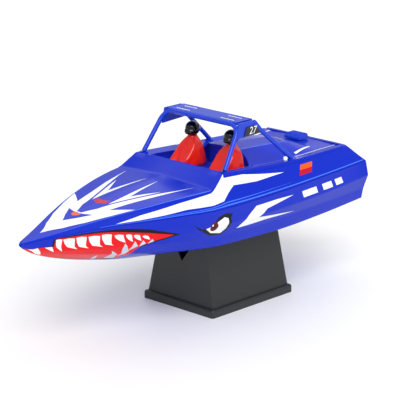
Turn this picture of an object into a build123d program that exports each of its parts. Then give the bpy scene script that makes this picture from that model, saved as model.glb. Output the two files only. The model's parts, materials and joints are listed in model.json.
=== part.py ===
from build123d import *
import math
import os

os.makedirs("parts", exist_ok=True)

# A model jet boat on its display stand. All sizes are in millimetres.
# While modelling, x runs forward from the transom, y to port and z up from the keel line.
# save() then moves each piece so that z = 0 is the floor and x = 0 is the middle of the length.

# Overall sizes
HULL_LENGTH = 230.0
HALF_BEAM = 38.0
KEEL_HEIGHT = 33.0  # keel above the floor, on the stand

# Walls and clearances
WALL = 1.2
SEAM_GAP = 0.2  # glue line between the hull and the deck
INSIDE_FIT = 0.15  # between the hull's inside and what is fitted into it
RUN_FIT = 0.05  # a shaft in its bushing, on the radius
LOOSE_FIT = 0.35  # between bodies that move apart
SNUG_GAP = 0.12  # between neighbouring pieces of one body

# Hull lines: station in percent of the length, then the keel's height, and for bilge, chine, beam and
# rail the half-breadth in percent of the half-beam and the height.
OFFSETS = [
    (0, 0.0, 85.3, 12.0, 88.7, 18.1, 97.6, 26.6, 92.6, 34.5),
    (15, 0.0, 84.2, 9.4, 89.5, 16.9, 98.6, 23.9, 96.6, 33.2),
    (30, 0.0, 84.2, 8.2, 89.4, 15.8, 98.8, 22.6, 98.9, 32.1),
    (42, 0.0, 83.0, 8.6, 88.9, 15.2, 97.8, 22.3, 99.5, 31.5),
    (50.5, 0.3, 80.7, 9.1, 86.6, 15.5, 95.3, 22.4, 98.2, 31.3),
    (57, 1.3, 73.4, 9.8, 82.6, 16.1, 89.9, 22.2, 95.2, 31.7),
    (64, 3.4, 60.3, 11.0, 73.1, 17.2, 79.6, 22.2, 85.6, 32.1),
    (71, 5.7, 46.2, 12.8, 59.5, 18.3, 63.1, 21.7, 71.2, 32.0),
    (78, 9.1, 32.0, 14.9, 42.1, 19.1, 43.8, 21.6, 54.7, 31.9),
    (85, 13.0, 19.3, 17.4, 27.1, 20.4, 28.2, 22.5, 38.7, 31.5),
    (91, 17.2, 10.6, 20.1, 16.2, 22.1, 18.3, 24.4, 24.3, 30.5),
    (96, 21.8, 5.1, 23.4, 7.9, 24.5, 9.4, 26.3, 12.2, 29.5),
    (100, 27.3, 1.1, 27.5, 1.6, 27.8, 2.1, 28.1, 2.6, 28.6),
]
# Deck edge ahead of the cockpit, and the gunwale beside it: station, half-breadth, height.
DECK_EDGE = [
    (55, 92.1, 42.5),
    (57, 90.2, 42.3),
    (64, 80.8, 41.3),
    (71, 68.8, 39.7),
    (78, 54.2, 37.7),
    (85, 38.2, 35.1),
    (91, 23.6, 32.5),
    (96, 11.3, 30.5),
    (100, 2.4, 29.0),
]
GUNWALE = [
    (0, 75.0, 44.7),
    (5, 77.6, 45.0),
    (15, 83.6, 45.7),
    (26, 88.2, 46.3),
    (38, 88.0, 47.7),
    (50.5, 86.1, 49.4),
]
# Stations where the straight-sided facets of the shells meet; they include every table's own.
STATIONS = (
    (0, 2.5, 5, 6.2, 8, 11.4, 14, 15, 18, 21.5, 25, 26, 30, 34, 37, 38, 42, 46, 50.5)
    + (52.5, 55, 57, 60.5, 64, 67.5, 71, 74.5, 78, 81.5, 85, 88, 91, 93.5, 96, 98, 100)
)
CROWN = 0.05  # rise of the deck's centre, per millimetre of half-breadth
NOSE_START = 91  # station where the hollow ends and the solid nose begins
# Canopy top aft of the cockpit: station, valley half-breadth and height, cowl crease, cowl crown.
COWL = [
    (6.2, 60.0, 44.6, 28.0, 45.0, 45.0),
    (11.4, 59.0, 44.3, 28.5, 45.1, 45.2),
    (14, 58.0, 43.9, 29.0, 46.8, 47.2),
    (18, 57.0, 43.4, 29.0, 49.2, 50.0),
    (25, 55.0, 43.0, 29.0, 50.6, 51.6),
    (37, 55.0, 44.4, 29.0, 52.2, 53.0),
]

# Deck opening and canopy
TRANSOM_RAKE = 11.5  # how far forward the transom's top edge leans
REAR_CAP = 14.0  # length of the fixed deck strip over the transom
FLANGE_WIDTH = 4.5
FLANGE_FALL = 0.26  # inward slope of the flange
SEAL_ROOM = 1.0  # between the flange and the canopy
SEAL_THICK = 0.35
SEAL_EDGES = (0.8, 3.6)  # inward from the gunwale
WELL_REAR = 84.0
WELL_FRONT = 111.0
WELL_HALF_WIDTH = 26.5
WELL_FLOOR = 41.5
TRIM_BOTTOM = 28.0  # below the deepest part of the canopy
SEAT_RECESS = 8.5  # radius of the recess behind each driver
SEAT_Y = 14.5
SEAT_X = 90.0

# Roll cage
TUBE_R = 1.3
FOOT_R = 2.2
FOOT_THICK = 0.9
HOOP_FOOT = (112.0, 30.4)
HOOP_TOP = (98.0, 27.5, 71.0)
HOOP_BEND = 7.0
ROOF_REAR = 85.5
ROOF_THICK = 1.5
STAY_FOOT = (59.3, 30.9)
GUSSET_THICK = 1.1

# Drivers
TORSO_WIDTH = 16.0
TORSO_DEPTH = 11.0
TORSO_TOP = 57.0
HELMET_R = 4.3
HELMET_Z = 61.2
VISOR_HALF = (3.2, 1.3)  # across and up

# Jet pump and steering
PUMP_Z = 17.0
PUMP_BORE = 7.5
PUMP_WALL = 1.4
PUMP_LENGTH = 24.0
DUCT_FRONT = 54.0
DUCT_HALF_WIDTH = 7.0
DUCT_LAP = 0.5  # of the duct into the pump tube
IMPELLER_LENGTH = 9.0
IMPELLER_X = 13.0
BLADES = 3
SHAFT_R = 1.0
BUSH_R = 2.2
BUSH_X = 41.0  # front bushing
CONE_LENGTH = 2.4
SPOUT_WALL = 1.0
OUTLET_R = 5.0
PIVOT_BEHIND = 7.5  # the steering pivot aft of the transom
NOZZLE_LENGTH = 8.5  # aft of the pivot
NOZZLE_BORE = 7.3
NOZZLE_TAPER = 1.6
EAR_R = 2.6
PIVOT_R = 0.8
ARM = 8.0  # horn and nozzle arms, so that both turn alike
ARM_Z = 27.0
ARM_THICK = 1.4
ARM_HALF = 1.9
ARM_END_R = 2.4
ROD_R = 0.5
ROD_Z = 30.5
BOOT_R = 1.8
ROD_HOLE = 1.3  # leaves room for the arms' arc, because the rod itself only slides

# Motor and coupling
MOTOR_R = 13.8
MOTOR_LENGTH = 38.0
MOTOR_FACE = 70.0
MOTOR_BOSS_R = 5.0
MOUNT_THICK = 2.0
COUPLER_R = 3.2
COUPLER_LENGTH = 9.0
COUPLER_MIDDLE = MOTOR_FACE - 6.5

# Servo
SERVO_LENGTH = 23.0
SERVO_WIDTH = 12.0
SERVO_HEIGHT = 17.0
SERVO_X = 49.0
SERVO_TAB = 4.6
SERVO_SHAFT_X = 54.0
SERVO_Y = -2 * ARM
SERVO_TOP = ARM_Z - 1.9
SERVO_LOW = SERVO_TOP - SERVO_HEIGHT
TAB_Z = SERVO_TOP - 5.5

# Battery and electronics
BATTERY = (52.0, 27.0, 14.0)
BATTERY_X = 142.0
TRAY_Z = 14.0
TRAY_LIP = 1.2
TRAY_THICK = 1.2
STRAP_WIDTH = 12.0
STRAP_THICK = 0.7
SPEED_UNIT = (36.0, 12.0, 19.0)
SPEED_UNIT_POS = (92.0, 23.0, 12.5)
WIRE_R = 0.7

# Screws
SCREW_R = 0.8
HEAD_R = 1.5
HEAD_HIGH = 1.0
SLOT_DEEP = 0.4
SLOT_HALF = 0.2

# Transom fittings
FLANGE_PLATE = (22.0, 21.0, 1.5)
PLUG_R = 2.0
PLUG_Y = 22.0
PLUG_Z = 16.5

# Latch
LATCH = (8.5, 13.0, 3.6)
LATCH_X = 20.0
LATCH_TRAVEL = 2.2
TONGUE_HOLD = 1.8  # the tongue's reach under the rear strip when latched
TONGUE_HALF = 3.0
STEM_HALF = 1.4
LATCH_REST = 45.5  # underside of the thumb block
TONGUE_Z = 43.4

# Stand
STAND_REAR = 52.0
STAND_FRONT = 117.0
STAND_HALF_WIDTH = 26.6
BASE_HIGH = 4.5
BASE_INSET = 2.1
SIDE_TAPER = 0.19
END_TAPER = 0.06
STAND_WALL = 2.0
NOTCH = 9.0
CRADLE_GAP = 0.4
TOWER_TOP = 14.0
CRADLE_TOP = 12.0

OVERHANG = PIVOT_BEHIND + NOZZLE_LENGTH
BOAT_PLACE = Location(((OVERHANG - HULL_LENGTH) / 2, 0, KEEL_HEIGHT))


def save(name, *solids):
    """Writes one node: its solids as a compound, moved from the modelling frame to the part's frame."""
    shapes = [piece for solid in solids for piece in solid.solids()]
    node = Compound(children=[shape.moved(BOAT_PLACE) for shape in shapes])
    export_step(node, f"parts/{name}.step")


def station_x(station):
    """Distance from the transom of a station given in percent of the hull's length."""
    return HULL_LENGTH * station / 100


def breadth(percent):
    """Half-breadth in millimetres of a value given in percent of the half-beam."""
    return HALF_BEAM * percent / 100


def value_at(rows, x, column):
    """A smooth value between the stations of a table, with no overshoot between them."""
    xs = [station_x(row[0]) for row in rows]
    ys = [row[column] for row in rows]
    x = min(max(x, xs[0]), xs[-1])
    k = max(i for i in range(len(xs) - 1) if xs[i] <= x)
    steps = [(ys[i + 1] - ys[i]) / (xs[i + 1] - xs[i]) for i in range(len(xs) - 1)]

    def slope(i):
        if i in (0, len(xs) - 1):
            return steps[min(i, len(steps) - 1)]
        before, after = steps[i - 1], steps[i]
        return 0 if before * after <= 0 else 2 * before * after / (before + after)

    span = xs[k + 1] - xs[k]
    t = (x - xs[k]) / span
    start = ys[k] * (1 + 2 * t) * (1 - t) ** 2 + slope(k) * span * t * (1 - t) ** 2
    return start + ys[k + 1] * t * t * (3 - 2 * t) + slope(k + 1) * span * t * t * (t - 1)


def hull_half(x):
    """Keel, bilge, chine, beam and rail points of one side at x."""
    points = [(0, value_at(OFFSETS, x, 1))]
    for column in (2, 4, 6, 8):
        points.append((breadth(value_at(OFFSETS, x, column)), value_at(OFFSETS, x, column + 1)))
    return points


def rail(x):
    """The rail point, where the hull meets the deck."""
    return hull_half(x)[-1]


def gunwale(x):
    """The gunwale point beside the cockpit and the cowl."""
    return breadth(value_at(GUNWALE, x, 1)), value_at(GUNWALE, x, 2)


def deck_edge(x):
    """The foredeck's edge, which climbs to the gunwale over the short ramp before the cockpit."""
    return breadth(value_at(DECK_EDGE, x, 1)), value_at(DECK_EDGE, x, 2)


def inset(points, distance):
    """A half-section moved inward by a distance, starting on the centre plane."""
    lines = []
    for (y0, z0), (y1, z1) in zip(points, points[1:]):
        length = math.hypot(y1 - y0, z1 - z0)
        dy, dz = (y1 - y0) / length, (z1 - z0) / length
        lines.append((y0 - dz * distance, z0 + dy * distance, dy, dz))
    first = lines[0]
    moved = [(0, first[1] - first[0] * first[3] / first[2])]
    for (ya, za, dya, dza), (yb, zb, dyb, dzb) in zip(lines, lines[1:]):
        cross = dya * dzb - dza * dyb
        t = ((yb - ya) * dzb - (zb - za) * dyb) / cross
        moved.append((ya + dya * t, za + dza * t))
    ya, za, dya, dza = lines[-1]
    reach = math.hypot(points[-1][0] - points[-2][0], points[-1][1] - points[-2][1])
    moved.append((ya + dya * reach, za + dza * reach))
    return moved


def section(x, half):
    """A closed face across the boat from one side's points, mirrored to the other side."""
    other = [(-y, z) for y, z in reversed(half) if y > 0]
    return make_face(Polyline([(x, y, z) for y, z in half + other], close=True))


def block(x0, x1, y0, y1, z0, z1):
    """A box between two corners."""
    return Pos((x0 + x1) / 2, (y0 + y1) / 2, (z0 + z1) / 2) * Box(x1 - x0, y1 - y0, z1 - z0)


def rod_x(x0, x1, y, z, radius):
    """A round bar along x."""
    return Pos((x0 + x1) / 2, y, z) * Rot(0, 90, 0) * Cylinder(radius, abs(x1 - x0))


def rod_y(x, y0, y1, z, radius):
    """A round bar along y."""
    return Pos(x, (y0 + y1) / 2, z) * Rot(90, 0, 0) * Cylinder(radius, abs(y1 - y0))


def rod_z(x, y, z0, z1, radius):
    """A round bar along z."""
    return Pos(x, y, (z0 + z1) / 2) * Cylinder(radius, abs(z1 - z0))


def screw_x(x, y, z, length, side):
    """A screw along x with its head on the given side, +1 forward or -1 aft."""
    shank = rod_x(x, x - side * length, y, z, SCREW_R)
    head = rod_x(x, x + side * HEAD_HIGH, y, z, HEAD_R)
    top = x + side * HEAD_HIGH
    slot = block(top - SLOT_DEEP, top + SLOT_DEEP, y - HEAD_R, y + HEAD_R, z - SLOT_HALF, z + SLOT_HALF)
    return shank + head - slot


def screw_z(x, y, z, length):
    """A screw whose head rests on a surface at z, with its shank below it."""
    shank = rod_z(x, y, z - length, z, SCREW_R)
    head = rod_z(x, y, z, z + HEAD_HIGH, HEAD_R)
    top = z + HEAD_HIGH
    slot = block(x - HEAD_R, x + HEAD_R, y - SLOT_HALF, y + SLOT_HALF, top - SLOT_DEEP, top + SLOT_DEEP)
    return shank + head - slot


def stops(x0, x1):
    """The two ends and the stations between them, as distances from the transom."""
    between = [station_x(station) for station in STATIONS]
    return [x0] + [x for x in between if x0 + 0.3 < x < x1 - 0.3] + [x1]


def shell_loft(faces):
    """A straight-sided loft through sections, so that neighbouring shells share their edges."""
    return loft(faces, ruled=True)


def hull_outer():
    """The solid hull up to the rail."""
    return shell_loft([section(x, hull_half(x)) for x in stops(0, HULL_LENGTH)])


def hull_inner(distance, rise):
    """What the hull holds: the inside, inset by a distance and carried up past the rail."""
    faces = []
    for x in stops(distance, station_x(NOSE_START)):
        half = inset(hull_half(x), distance)
        y_top, z_top = half[-1]
        faces.append(section(x, half + [(y_top, z_top + rise)]))
    return shell_loft(faces)


def hull():
    """The hull moulding, with the pump's mouth, the transom holes and the plug's hole."""
    shell = hull_outer() - hull_inner(WALL, WALL)
    mouth_half = DUCT_HALF_WIDTH + PUMP_WALL + SNUG_GAP
    mouth = block(PUMP_LENGTH - DUCT_LAP, DUCT_FRONT + SNUG_GAP, -mouth_half, mouth_half, -5, WALL + 4)
    outlet = rod_x(-1, WALL + 1, 0, PUMP_Z, PUMP_BORE + PUMP_WALL + SNUG_GAP)
    rod_hole = rod_x(-1, WALL + 1, -ARM, ROD_Z, BOOT_R + SNUG_GAP)
    plug_hole = rod_x(-1, WALL + 1, PLUG_Y, PLUG_Z, PLUG_R + RUN_FIT)
    shell = shell - mouth - outlet - rod_hole - plug_hole
    for y, z in flange_screw_places():
        shell -= rod_x(-1, WALL + 1, y, z, SCREW_R + RUN_FIT)
    return shell


def deck_side(x, distance, drop):
    """The foot of the deck's side on the rail, moved inward and down for the inside."""
    y, z = rail(x)
    return y - distance, z - drop


def deck_fore(distance, drop):
    """The foredeck block from the ramp's foot to the bow; a distance of 0 is the outside."""
    end = station_x(NOSE_START) if distance else HULL_LENGTH
    faces = []
    for x in stops(station_x(DECK_EDGE[0][0]), end):
        gy, gz = deck_edge(x)
        crown = (0, gz - distance + CROWN * gy)
        faces.append(section(x, [deck_side(x, distance, drop), (gy - distance, gz - distance), crown]))
    return shell_loft(faces)


def deck_ramp(distance, drop):
    """The ramp block, which rises from the foredeck to the ridge before the cockpit."""
    foot, ridge = station_x(DECK_EDGE[0][0]), station_x(GUNWALE[-1][0])
    (foot_y, foot_z), (ridge_y, ridge_z) = deck_edge(foot), gunwale(ridge)
    faces = []
    for x in stops(ridge, foot):
        share = (x - ridge) / (foot - ridge)
        gy = ridge_y + (foot_y - ridge_y) * share
        gz = ridge_z + (foot_z - ridge_z) * share
        crown = (0, gz - distance + CROWN * gy * share)
        faces.append(section(x, [deck_side(x, distance, drop), (gy - distance, gz - distance), crown]))
    return shell_loft(faces)


def flange_points(x, distance):
    """The top of the deck under the canopy: its outer corner and the foot of the flange's slope."""
    gy, gz = gunwale(x)
    top = gz - WALL - SEAL_ROOM - distance
    return [(gy - distance, top), (gy - FLANGE_WIDTH - distance, top - FLANGE_FALL * FLANGE_WIDTH)]


def deck_mid(distance, drop, x0, x1):
    """The deck block under the canopy."""
    faces = [section(x, [deck_side(x, distance, drop)] + flange_points(x, distance)) for x in stops(x0, x1)]
    return shell_loft(faces)


def deck_rear(distance, drop, x1):
    """The fixed strip over the transom."""
    faces = []
    for x in stops(0, x1):
        gy, gz = gunwale(x)
        faces.append(section(x, [deck_side(x, distance, drop), (gy - distance, gz - distance)]))
    return shell_loft(faces)


def rake_cutter(distance):
    """Everything aft of the raked transom plane, which is moved forward by a distance."""
    low, high = rail(0)[1], gunwale(0)[1]
    lean = TRANSOM_RAKE / (high - low)
    top, bottom = high + 10, low - 10
    points = [
        (distance + lean * (bottom - low), bottom),
        (distance + lean * (top - low), top),
        (-60, top),
        (-60, bottom),
    ]
    profile = make_face(Polyline([(x, 0, z) for x, z in points], close=True))
    return extrude(profile, amount=2 * HALF_BEAM, dir=(0, 1, 0), both=True)


def opening(shrink):
    """The deck's opening under the canopy, as a tall prism that is smaller by shrink all round."""
    x0, x1 = REAR_CAP + FLANGE_WIDTH / 2 + shrink, station_x(GUNWALE[-1][0]) - 3 - shrink
    half = [(x, gunwale(x)[0] - FLANGE_WIDTH - shrink) for x in stops(x0, x1)]
    outline = half + [(x, -y) for x, y in reversed(half)]
    face = make_face(Polyline([(x, y, 20) for x, y in outline], close=True))
    return extrude(face, amount=40, dir=(0, 0, 1))


def deck():
    """The deck moulding: foredeck, ramp, side panels, flange and the strip over the transom."""
    ridge = station_x(GUNWALE[-1][0])
    outer = deck_fore(0, 0) + deck_ramp(0, 0) + deck_mid(0, 0, REAR_CAP, ridge)
    outer += deck_rear(0, 0, REAR_CAP)
    outer -= rake_cutter(0)
    lower = 3 * WALL
    inside = deck_fore(WALL, lower) + deck_ramp(WALL, lower)
    inside += deck_mid(WALL, lower, REAR_CAP / 2, ridge)
    inside += deck_rear(WALL, lower, REAR_CAP) - rake_cutter(WALL)
    shell = outer - inside - opening(0)
    nose = deck_fore(0, 0) & block(station_x(NOSE_START), HULL_LENGTH, -HALF_BEAM, HALF_BEAM, 0, 60)
    return Pos(0, 0, SEAM_GAP) * (shell + nose)


def canopy_half(x, forward):
    """The canopy's top line on one side, from the gunwale to the centre."""
    gy, gz = gunwale(x)
    if forward:
        foot = gz - FLANGE_FALL * FLANGE_WIDTH
        return [(gy, gz), (gy - FLANGE_WIDTH, foot), (gy - 2 * FLANGE_WIDTH, foot), (0, foot)]
    valley = (breadth(value_at(COWL, x, 1)), value_at(COWL, x, 2))
    crease = (breadth(value_at(COWL, x, 3)), value_at(COWL, x, 4))
    return [(gy, gz), valley, crease, (0, value_at(COWL, x, 5))]


def across(x, half):
    """One side's points, from the gunwale to the centre, carried on to the other gunwale."""
    return [(x, y, z) for y, z in half] + [(x, -y, z) for y, z in reversed(half[:-1])]


def canopy_blocks(high, low):
    """The canopy's two curved sheets, aft and forward of the well's rear edge, from one depth below
    the top line to another, or to a flat bottom where low is None."""
    rear, front = REAR_CAP + LOOSE_FIT, station_x(GUNWALE[-1][0]) - LOOSE_FIT
    blocks = []
    for x0, x1, forward in ((rear, WELL_REAR, False), (WELL_REAR, front, True)):
        faces = []
        for x in stops(x0, x1):
            half = canopy_half(x, forward)
            top = across(x, [(y, z - high) for y, z in half])
            if low is None:
                bottom = [(x, half[0][0], TRIM_BOTTOM), (x, -half[0][0], TRIM_BOTTOM)]
            else:
                bottom = across(x, [(y, z - low) for y, z in half])
            faces.append(make_face(Polyline(top + bottom[::-1], close=True)))
        blocks.append(shell_loft(faces))
    return blocks[0] + blocks[1]


def well(grow, floor):
    """The cockpit well with a round recess behind each driver, grown all round."""
    length = WELL_FRONT - WELL_REAR + 2 * grow
    middle = (WELL_FRONT + WELL_REAR) / 2
    plan = Pos(middle, 0) * RectangleRounded(length, 2 * (WELL_HALF_WIDTH + grow), 3 + grow)
    for side in (-1, 1):
        plan += Pos(SEAT_X - 1.5, side * SEAT_Y) * Circle(SEAT_RECESS + grow)
    return Pos(0, 0, floor) * extrude(plan, amount=40)


def canopy():
    """The lift-off canopy: skin, cockpit well, cowl, and the slot for the latch's stem."""
    hole = well(0, WELL_FLOOR)
    tub = (well(WALL, WELL_FLOOR - WALL) - hole) & canopy_blocks(WALL / 2, None)
    shell = (canopy_blocks(0, WALL) - hole) + tub
    stem = STEM_HALF + LOOSE_FIT
    shell -= block(LATCH_X - stem, LATCH_X + stem + LATCH_TRAVEL, -stem, stem, 36, 60)
    return shell


def seal_strip(x0, x1):
    """One foam strip of the canopy seal on the port flange."""
    low = INSIDE_FIT + SEAM_GAP
    outer, inner = SEAL_EDGES
    faces = []
    for x in stops(x0, x1):
        gy, gz = gunwale(x)
        points = []
        for inward, rise in ((outer, 0), (outer, SEAL_THICK), (inner, SEAL_THICK), (inner, 0)):
            points.append((gy - inward, gz - WALL - SEAL_ROOM - FLANGE_FALL * inward + low + rise))
        faces.append(make_face(Polyline([(x, y, z) for y, z in points], close=True)))
    return shell_loft(faces)


def hatch_seal():
    """The foam strips between the deck's flange and the canopy, port and starboard."""
    port = seal_strip(REAR_CAP + 4, station_x(GUNWALE[-1][0]) - 4)
    return port + mirror(port, Plane.XZ)


def cage_feet():
    """Where the four cage feet stand on the canopy."""
    places = []
    for x, y in (HOOP_FOOT, STAY_FOOT):
        (gy, gz), (vy, vz) = canopy_half(x, x > WELL_REAR)[:2]
        height = gz + (vz - gz) * (gy - y) / (gy - vy)
        places += [(x, y, height), (x, -y, height)]
    return places


def tube(points, radii):
    """A round tube along straight runs joined by tangent arcs."""
    path = FilletPolyline(*points, radius=radii) if radii else Line(*points)
    plane = Plane(origin=path @ 0, z_dir=path % 0)
    return sweep(plane * Circle(TUBE_R), path=path)


def hoop():
    """The front hoop: one tube up from each foot and across the roof's front edge."""
    (x, y, z), top = cage_feet()[0], HOOP_TOP
    foot = (x, y, z + FOOT_THICK + 0.2)
    points = [foot, top, (top[0], -top[1], top[2]), (foot[0], -foot[1], foot[2])]
    return tube(points, HOOP_BEND)


def roof_panel():
    """The roof panel behind the hoop, with two slots each side, coped round the tube."""
    front, half, low = HOOP_TOP[0], HOOP_TOP[1] - 2, HOOP_TOP[2]
    plan = block(ROOF_REAR, front, -half, half, low, low + ROOF_THICK)
    middle = (ROOF_REAR + front) / 2
    for side in (-1, 1):
        y = side * HOOP_TOP[1] * 0.6
        for x in (middle - 4, middle + 2):
            plan -= block(x, x + 1, y - 5, y + 5, low + 1, low + 3)
    return plan - hoop()


def stay_line():
    """The port rear stay's ends: on its foot, and behind the roof's rear corner."""
    x, y, z = cage_feet()[2]
    return (x, y, z + FOOT_THICK + 0.2), (ROOF_REAR + 1, HOOP_TOP[1] - 0.6, HOOP_TOP[2] - 0.4)


def rear_stays():
    """The two straight rear stays, coped to the roof panel and the hoop."""
    port = tube(list(stay_line()), None) - roof_panel() - hoop()
    port = max(port.solids(), key=lambda solid: solid.volume)
    return port, mirror(port, Plane.XZ)


def gusset_outline(grow):
    """The side gusset's corners in side view: under the roof, between the hoop and the stay."""
    top = HOOP_TOP[2] - TUBE_R
    return [
        (HOOP_TOP[0] - 1.0 + grow, top + 1.6),
        (ROOF_REAR - 0.5 - grow, top + 1.6),
        (ROOF_REAR - 6.0 - grow, top - 5.2),
        (HOOP_TOP[0] + 1.5 + grow, top - 6.6),
    ]


def gussets():
    """The flat gussets that close the corner between hoop, roof and stay."""
    corners = [(x, HOOP_TOP[1] - GUSSET_THICK / 2, z) for x, z in gusset_outline(0)]
    plate = extrude(make_face(Polyline(corners, close=True)), amount=GUSSET_THICK, dir=(0, 1, 0))
    port = plate - hoop() - roof_panel() - rear_stays()[0]
    port = max(port.solids(), key=lambda solid: solid.volume)
    return port, mirror(port, Plane.XZ)


def number_plates():
    """A thin plate on each gusset for a race number."""
    outside = HOOP_TOP[1] + GUSSET_THICK / 2
    (x0, z0), (x1, z1) = (ROOF_REAR - 3.4, HOOP_TOP[2] - 6.4), (ROOF_REAR + 8.5, HOOP_TOP[2] - 1.6)
    corners = [(x0 - 0.4, z0), (x0 + 3.4, z1), (x1 - 1.2, z1), (x1 + 0.8, z0)]
    face = make_face(Polyline([(x, outside, z) for x, z in corners], close=True))
    port = extrude(face, amount=0.4, dir=(0, 1, 0)) - hoop() - rear_stays()[0]
    port = max(port.solids(), key=lambda solid: solid.volume)
    return port, mirror(port, Plane.XZ)


def cage_foot_pads(shell):
    """The round foot under each tube, shaped to the canopy below and to the tube above."""
    pads = []
    for x, y, z in cage_feet():
        pad = rod_z(x, y, z - WALL / 2, z + FOOT_THICK, FOOT_R) - shell - hoop()
        for stay in rear_stays():
            pad -= stay
        pads.append(max(pad.solids(), key=lambda solid: solid.volume))
    return pads


def driver_suit(side):
    """A driver's body: a moulded torso with both arms forward, standing on the well's floor."""
    base = Pos(SEAT_X, side * SEAT_Y)
    low = WELL_FLOOR + SNUG_GAP
    levels = [
        (low, 1.0, 1.0, 1.0),
        (low + 6, 1.0, 0.92, 0.6),
        (low + 11, 0.8, 0.74, 0.0),
        (TORSO_TOP - 1.4, 0.5, 0.55, -0.3),
        (TORSO_TOP, 0.3, 0.4, -0.3),
    ]
    faces = []
    for z, wide, deep, ahead in levels:
        shape = RectangleRounded(TORSO_DEPTH * deep, TORSO_WIDTH * wide, TORSO_DEPTH * deep * 0.42)
        faces.append(base * Pos(ahead, 0, z) * shape)
    body = loft(faces)
    for hand in (-1, 1):
        y = side * SEAT_Y + hand * TORSO_WIDTH * 0.32
        arm = Pos(SEAT_X + 5.5, y, low + 5.6) * Rot(0, 62, 0) * Cylinder(2.1, 13)
        body += arm & block(SEAT_X - 10, SEAT_X + 20, -HALF_BEAM, HALF_BEAM, low, TORSO_TOP)
    return body


def driver_helmet(side):
    """A full-face helmet: an ellipsoid with a chin bar, a visor opening and a flat neck."""
    place = Pos(SEAT_X, side * SEAT_Y, HELMET_Z)
    shell = place * scale(Sphere(HELMET_R), by=(1.08, 0.95, 1.0))
    chin = place * Pos(2.4, 0, -1.9) * scale(Sphere(2.6), by=(1.0, 1.15, 0.75))
    shell = shell + chin
    shell -= block(0, 200, -HALF_BEAM, HALF_BEAM, 0, TORSO_TOP + SNUG_GAP)
    return shell - visor_cut(side, 0)


def visor_cut(side, shrink):
    """The wedge that the visor fills in the helmet's front."""
    x = SEAT_X + 2.6 + shrink
    y, z = side * SEAT_Y, HELMET_Z + 0.7
    half_wide, half_high = VISOR_HALF[0] - shrink, VISOR_HALF[1] - shrink
    return block(x, x + 9, y - half_wide, y + half_wide, z - half_high, z + half_high)


def helmet_visor(side):
    """The visor, a slice of the helmet's own curve."""
    place = Pos(SEAT_X, side * SEAT_Y, HELMET_Z)
    curve = place * scale(Sphere(HELMET_R - 0.1), by=(1.08, 0.95, 1.0))
    return curve & visor_cut(side, 0.08)


def duct_profile(thick):
    """The intake duct in side view, grown by a wall thickness."""
    return [
        (PUMP_LENGTH - DUCT_LAP, PUMP_Z + PUMP_BORE * 0.72 + thick),
        (PUMP_LENGTH + 4, PUMP_Z + PUMP_BORE * 0.62 + thick),
        (DUCT_FRONT - PUMP_WALL + thick, 2.2 + thick),
        (DUCT_FRONT - PUMP_WALL + thick, -4),
        (PUMP_LENGTH + 1.6 - thick, -4),
        (PUMP_LENGTH - DUCT_LAP, PUMP_Z - PUMP_BORE * 0.72 - thick),
    ]


def duct(thick):
    """The duct between the hull's bottom and the pump bore, grown by a wall thickness."""
    face = make_face(Polyline([(x, 0, z) for x, z in duct_profile(thick)], close=True))
    return extrude(face, amount=DUCT_HALF_WIDTH + thick, dir=(0, 1, 0), both=True)


def jet_housing():
    """The pump tube, the intake duct that opens in the hull's bottom, and the shaft's boss."""
    outside = rod_x(0, PUMP_LENGTH, 0, PUMP_Z, PUMP_BORE + PUMP_WALL) + duct(PUMP_WALL)
    outside += rod_x(PUMP_LENGTH, BUSH_X + 4, 0, PUMP_Z, BUSH_R + 1.2)
    bottom = hull_outer() & block(0, 80, -HALF_BEAM, HALF_BEAM, -5, 30)
    keep = bottom + block(-20, 80, -HALF_BEAM, HALF_BEAM, 8, 40)
    inside = rod_x(-1, PUMP_LENGTH, 0, PUMP_Z, PUMP_BORE) + duct(0)
    body = (outside & keep) - inside - rod_x(PUMP_LENGTH, BUSH_X + 5, 0, PUMP_Z, BUSH_R + SNUG_GAP)
    return max(body.solids(), key=lambda solid: solid.volume)


def stator():
    """The fixed outlet: a short cone and spout, with straight vanes and a hub for the rear bushing."""
    rear = PIVOT_BEHIND + 1.5
    straight = FLANGE_PLATE[2] + 1
    lip = straight + CONE_LENGTH
    turn = Pos(-straight - CONE_LENGTH / 2, 0, PUMP_Z) * Rot(0, -90, 0)
    spout_r = OUTLET_R + SPOUT_WALL
    outside = rod_x(-straight, 0, 0, PUMP_Z, PUMP_BORE + PUMP_WALL) + rod_x(-rear, -lip, 0, PUMP_Z, spout_r)
    outside += turn * Cone(PUMP_BORE + PUMP_WALL, spout_r, CONE_LENGTH)
    bore = turn * Cone(PUMP_BORE, OUTLET_R, CONE_LENGTH) + rod_x(-straight, 1, 0, PUMP_Z, PUMP_BORE)
    bore += rod_x(-rear - 1, -lip, 0, PUMP_Z, OUTLET_R)
    body = outside - bore - rod_z(-PIVOT_BEHIND, 0, 0, 40, PIVOT_R + 0.02)
    hub = rod_x(-rear + 1.5, 0, 0, PUMP_Z, BUSH_R + 0.9) - rod_x(-rear + 2.8, 1, 0, PUMP_Z, BUSH_R + 0.05)
    vanes = None
    for angle in (0, 60, 120):
        spin = Pos(0, 0, PUMP_Z) * Rot(angle, 0, 0) * Pos(0, 0, -PUMP_Z)
        vane = spin * block(-lip, -0.2, -0.4, 0.4, PUMP_Z - PUMP_BORE - 0.3, PUMP_Z + PUMP_BORE + 0.3)
        vanes = vane if vanes is None else vanes + vane
    vanes = (vanes & outside) - rod_x(-rear, 1, 0, PUMP_Z, BUSH_R + 0.5)
    return body + hub + vanes


def flange_screw_places():
    """The four transom flange screws, in y and z."""
    half_wide, half_high = FLANGE_PLATE[0] / 2 - 2, FLANGE_PLATE[1] / 2 - 2
    return [(y, PUMP_Z + z) for y in (-half_wide, half_wide) for z in (-half_high, half_high)]


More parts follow.
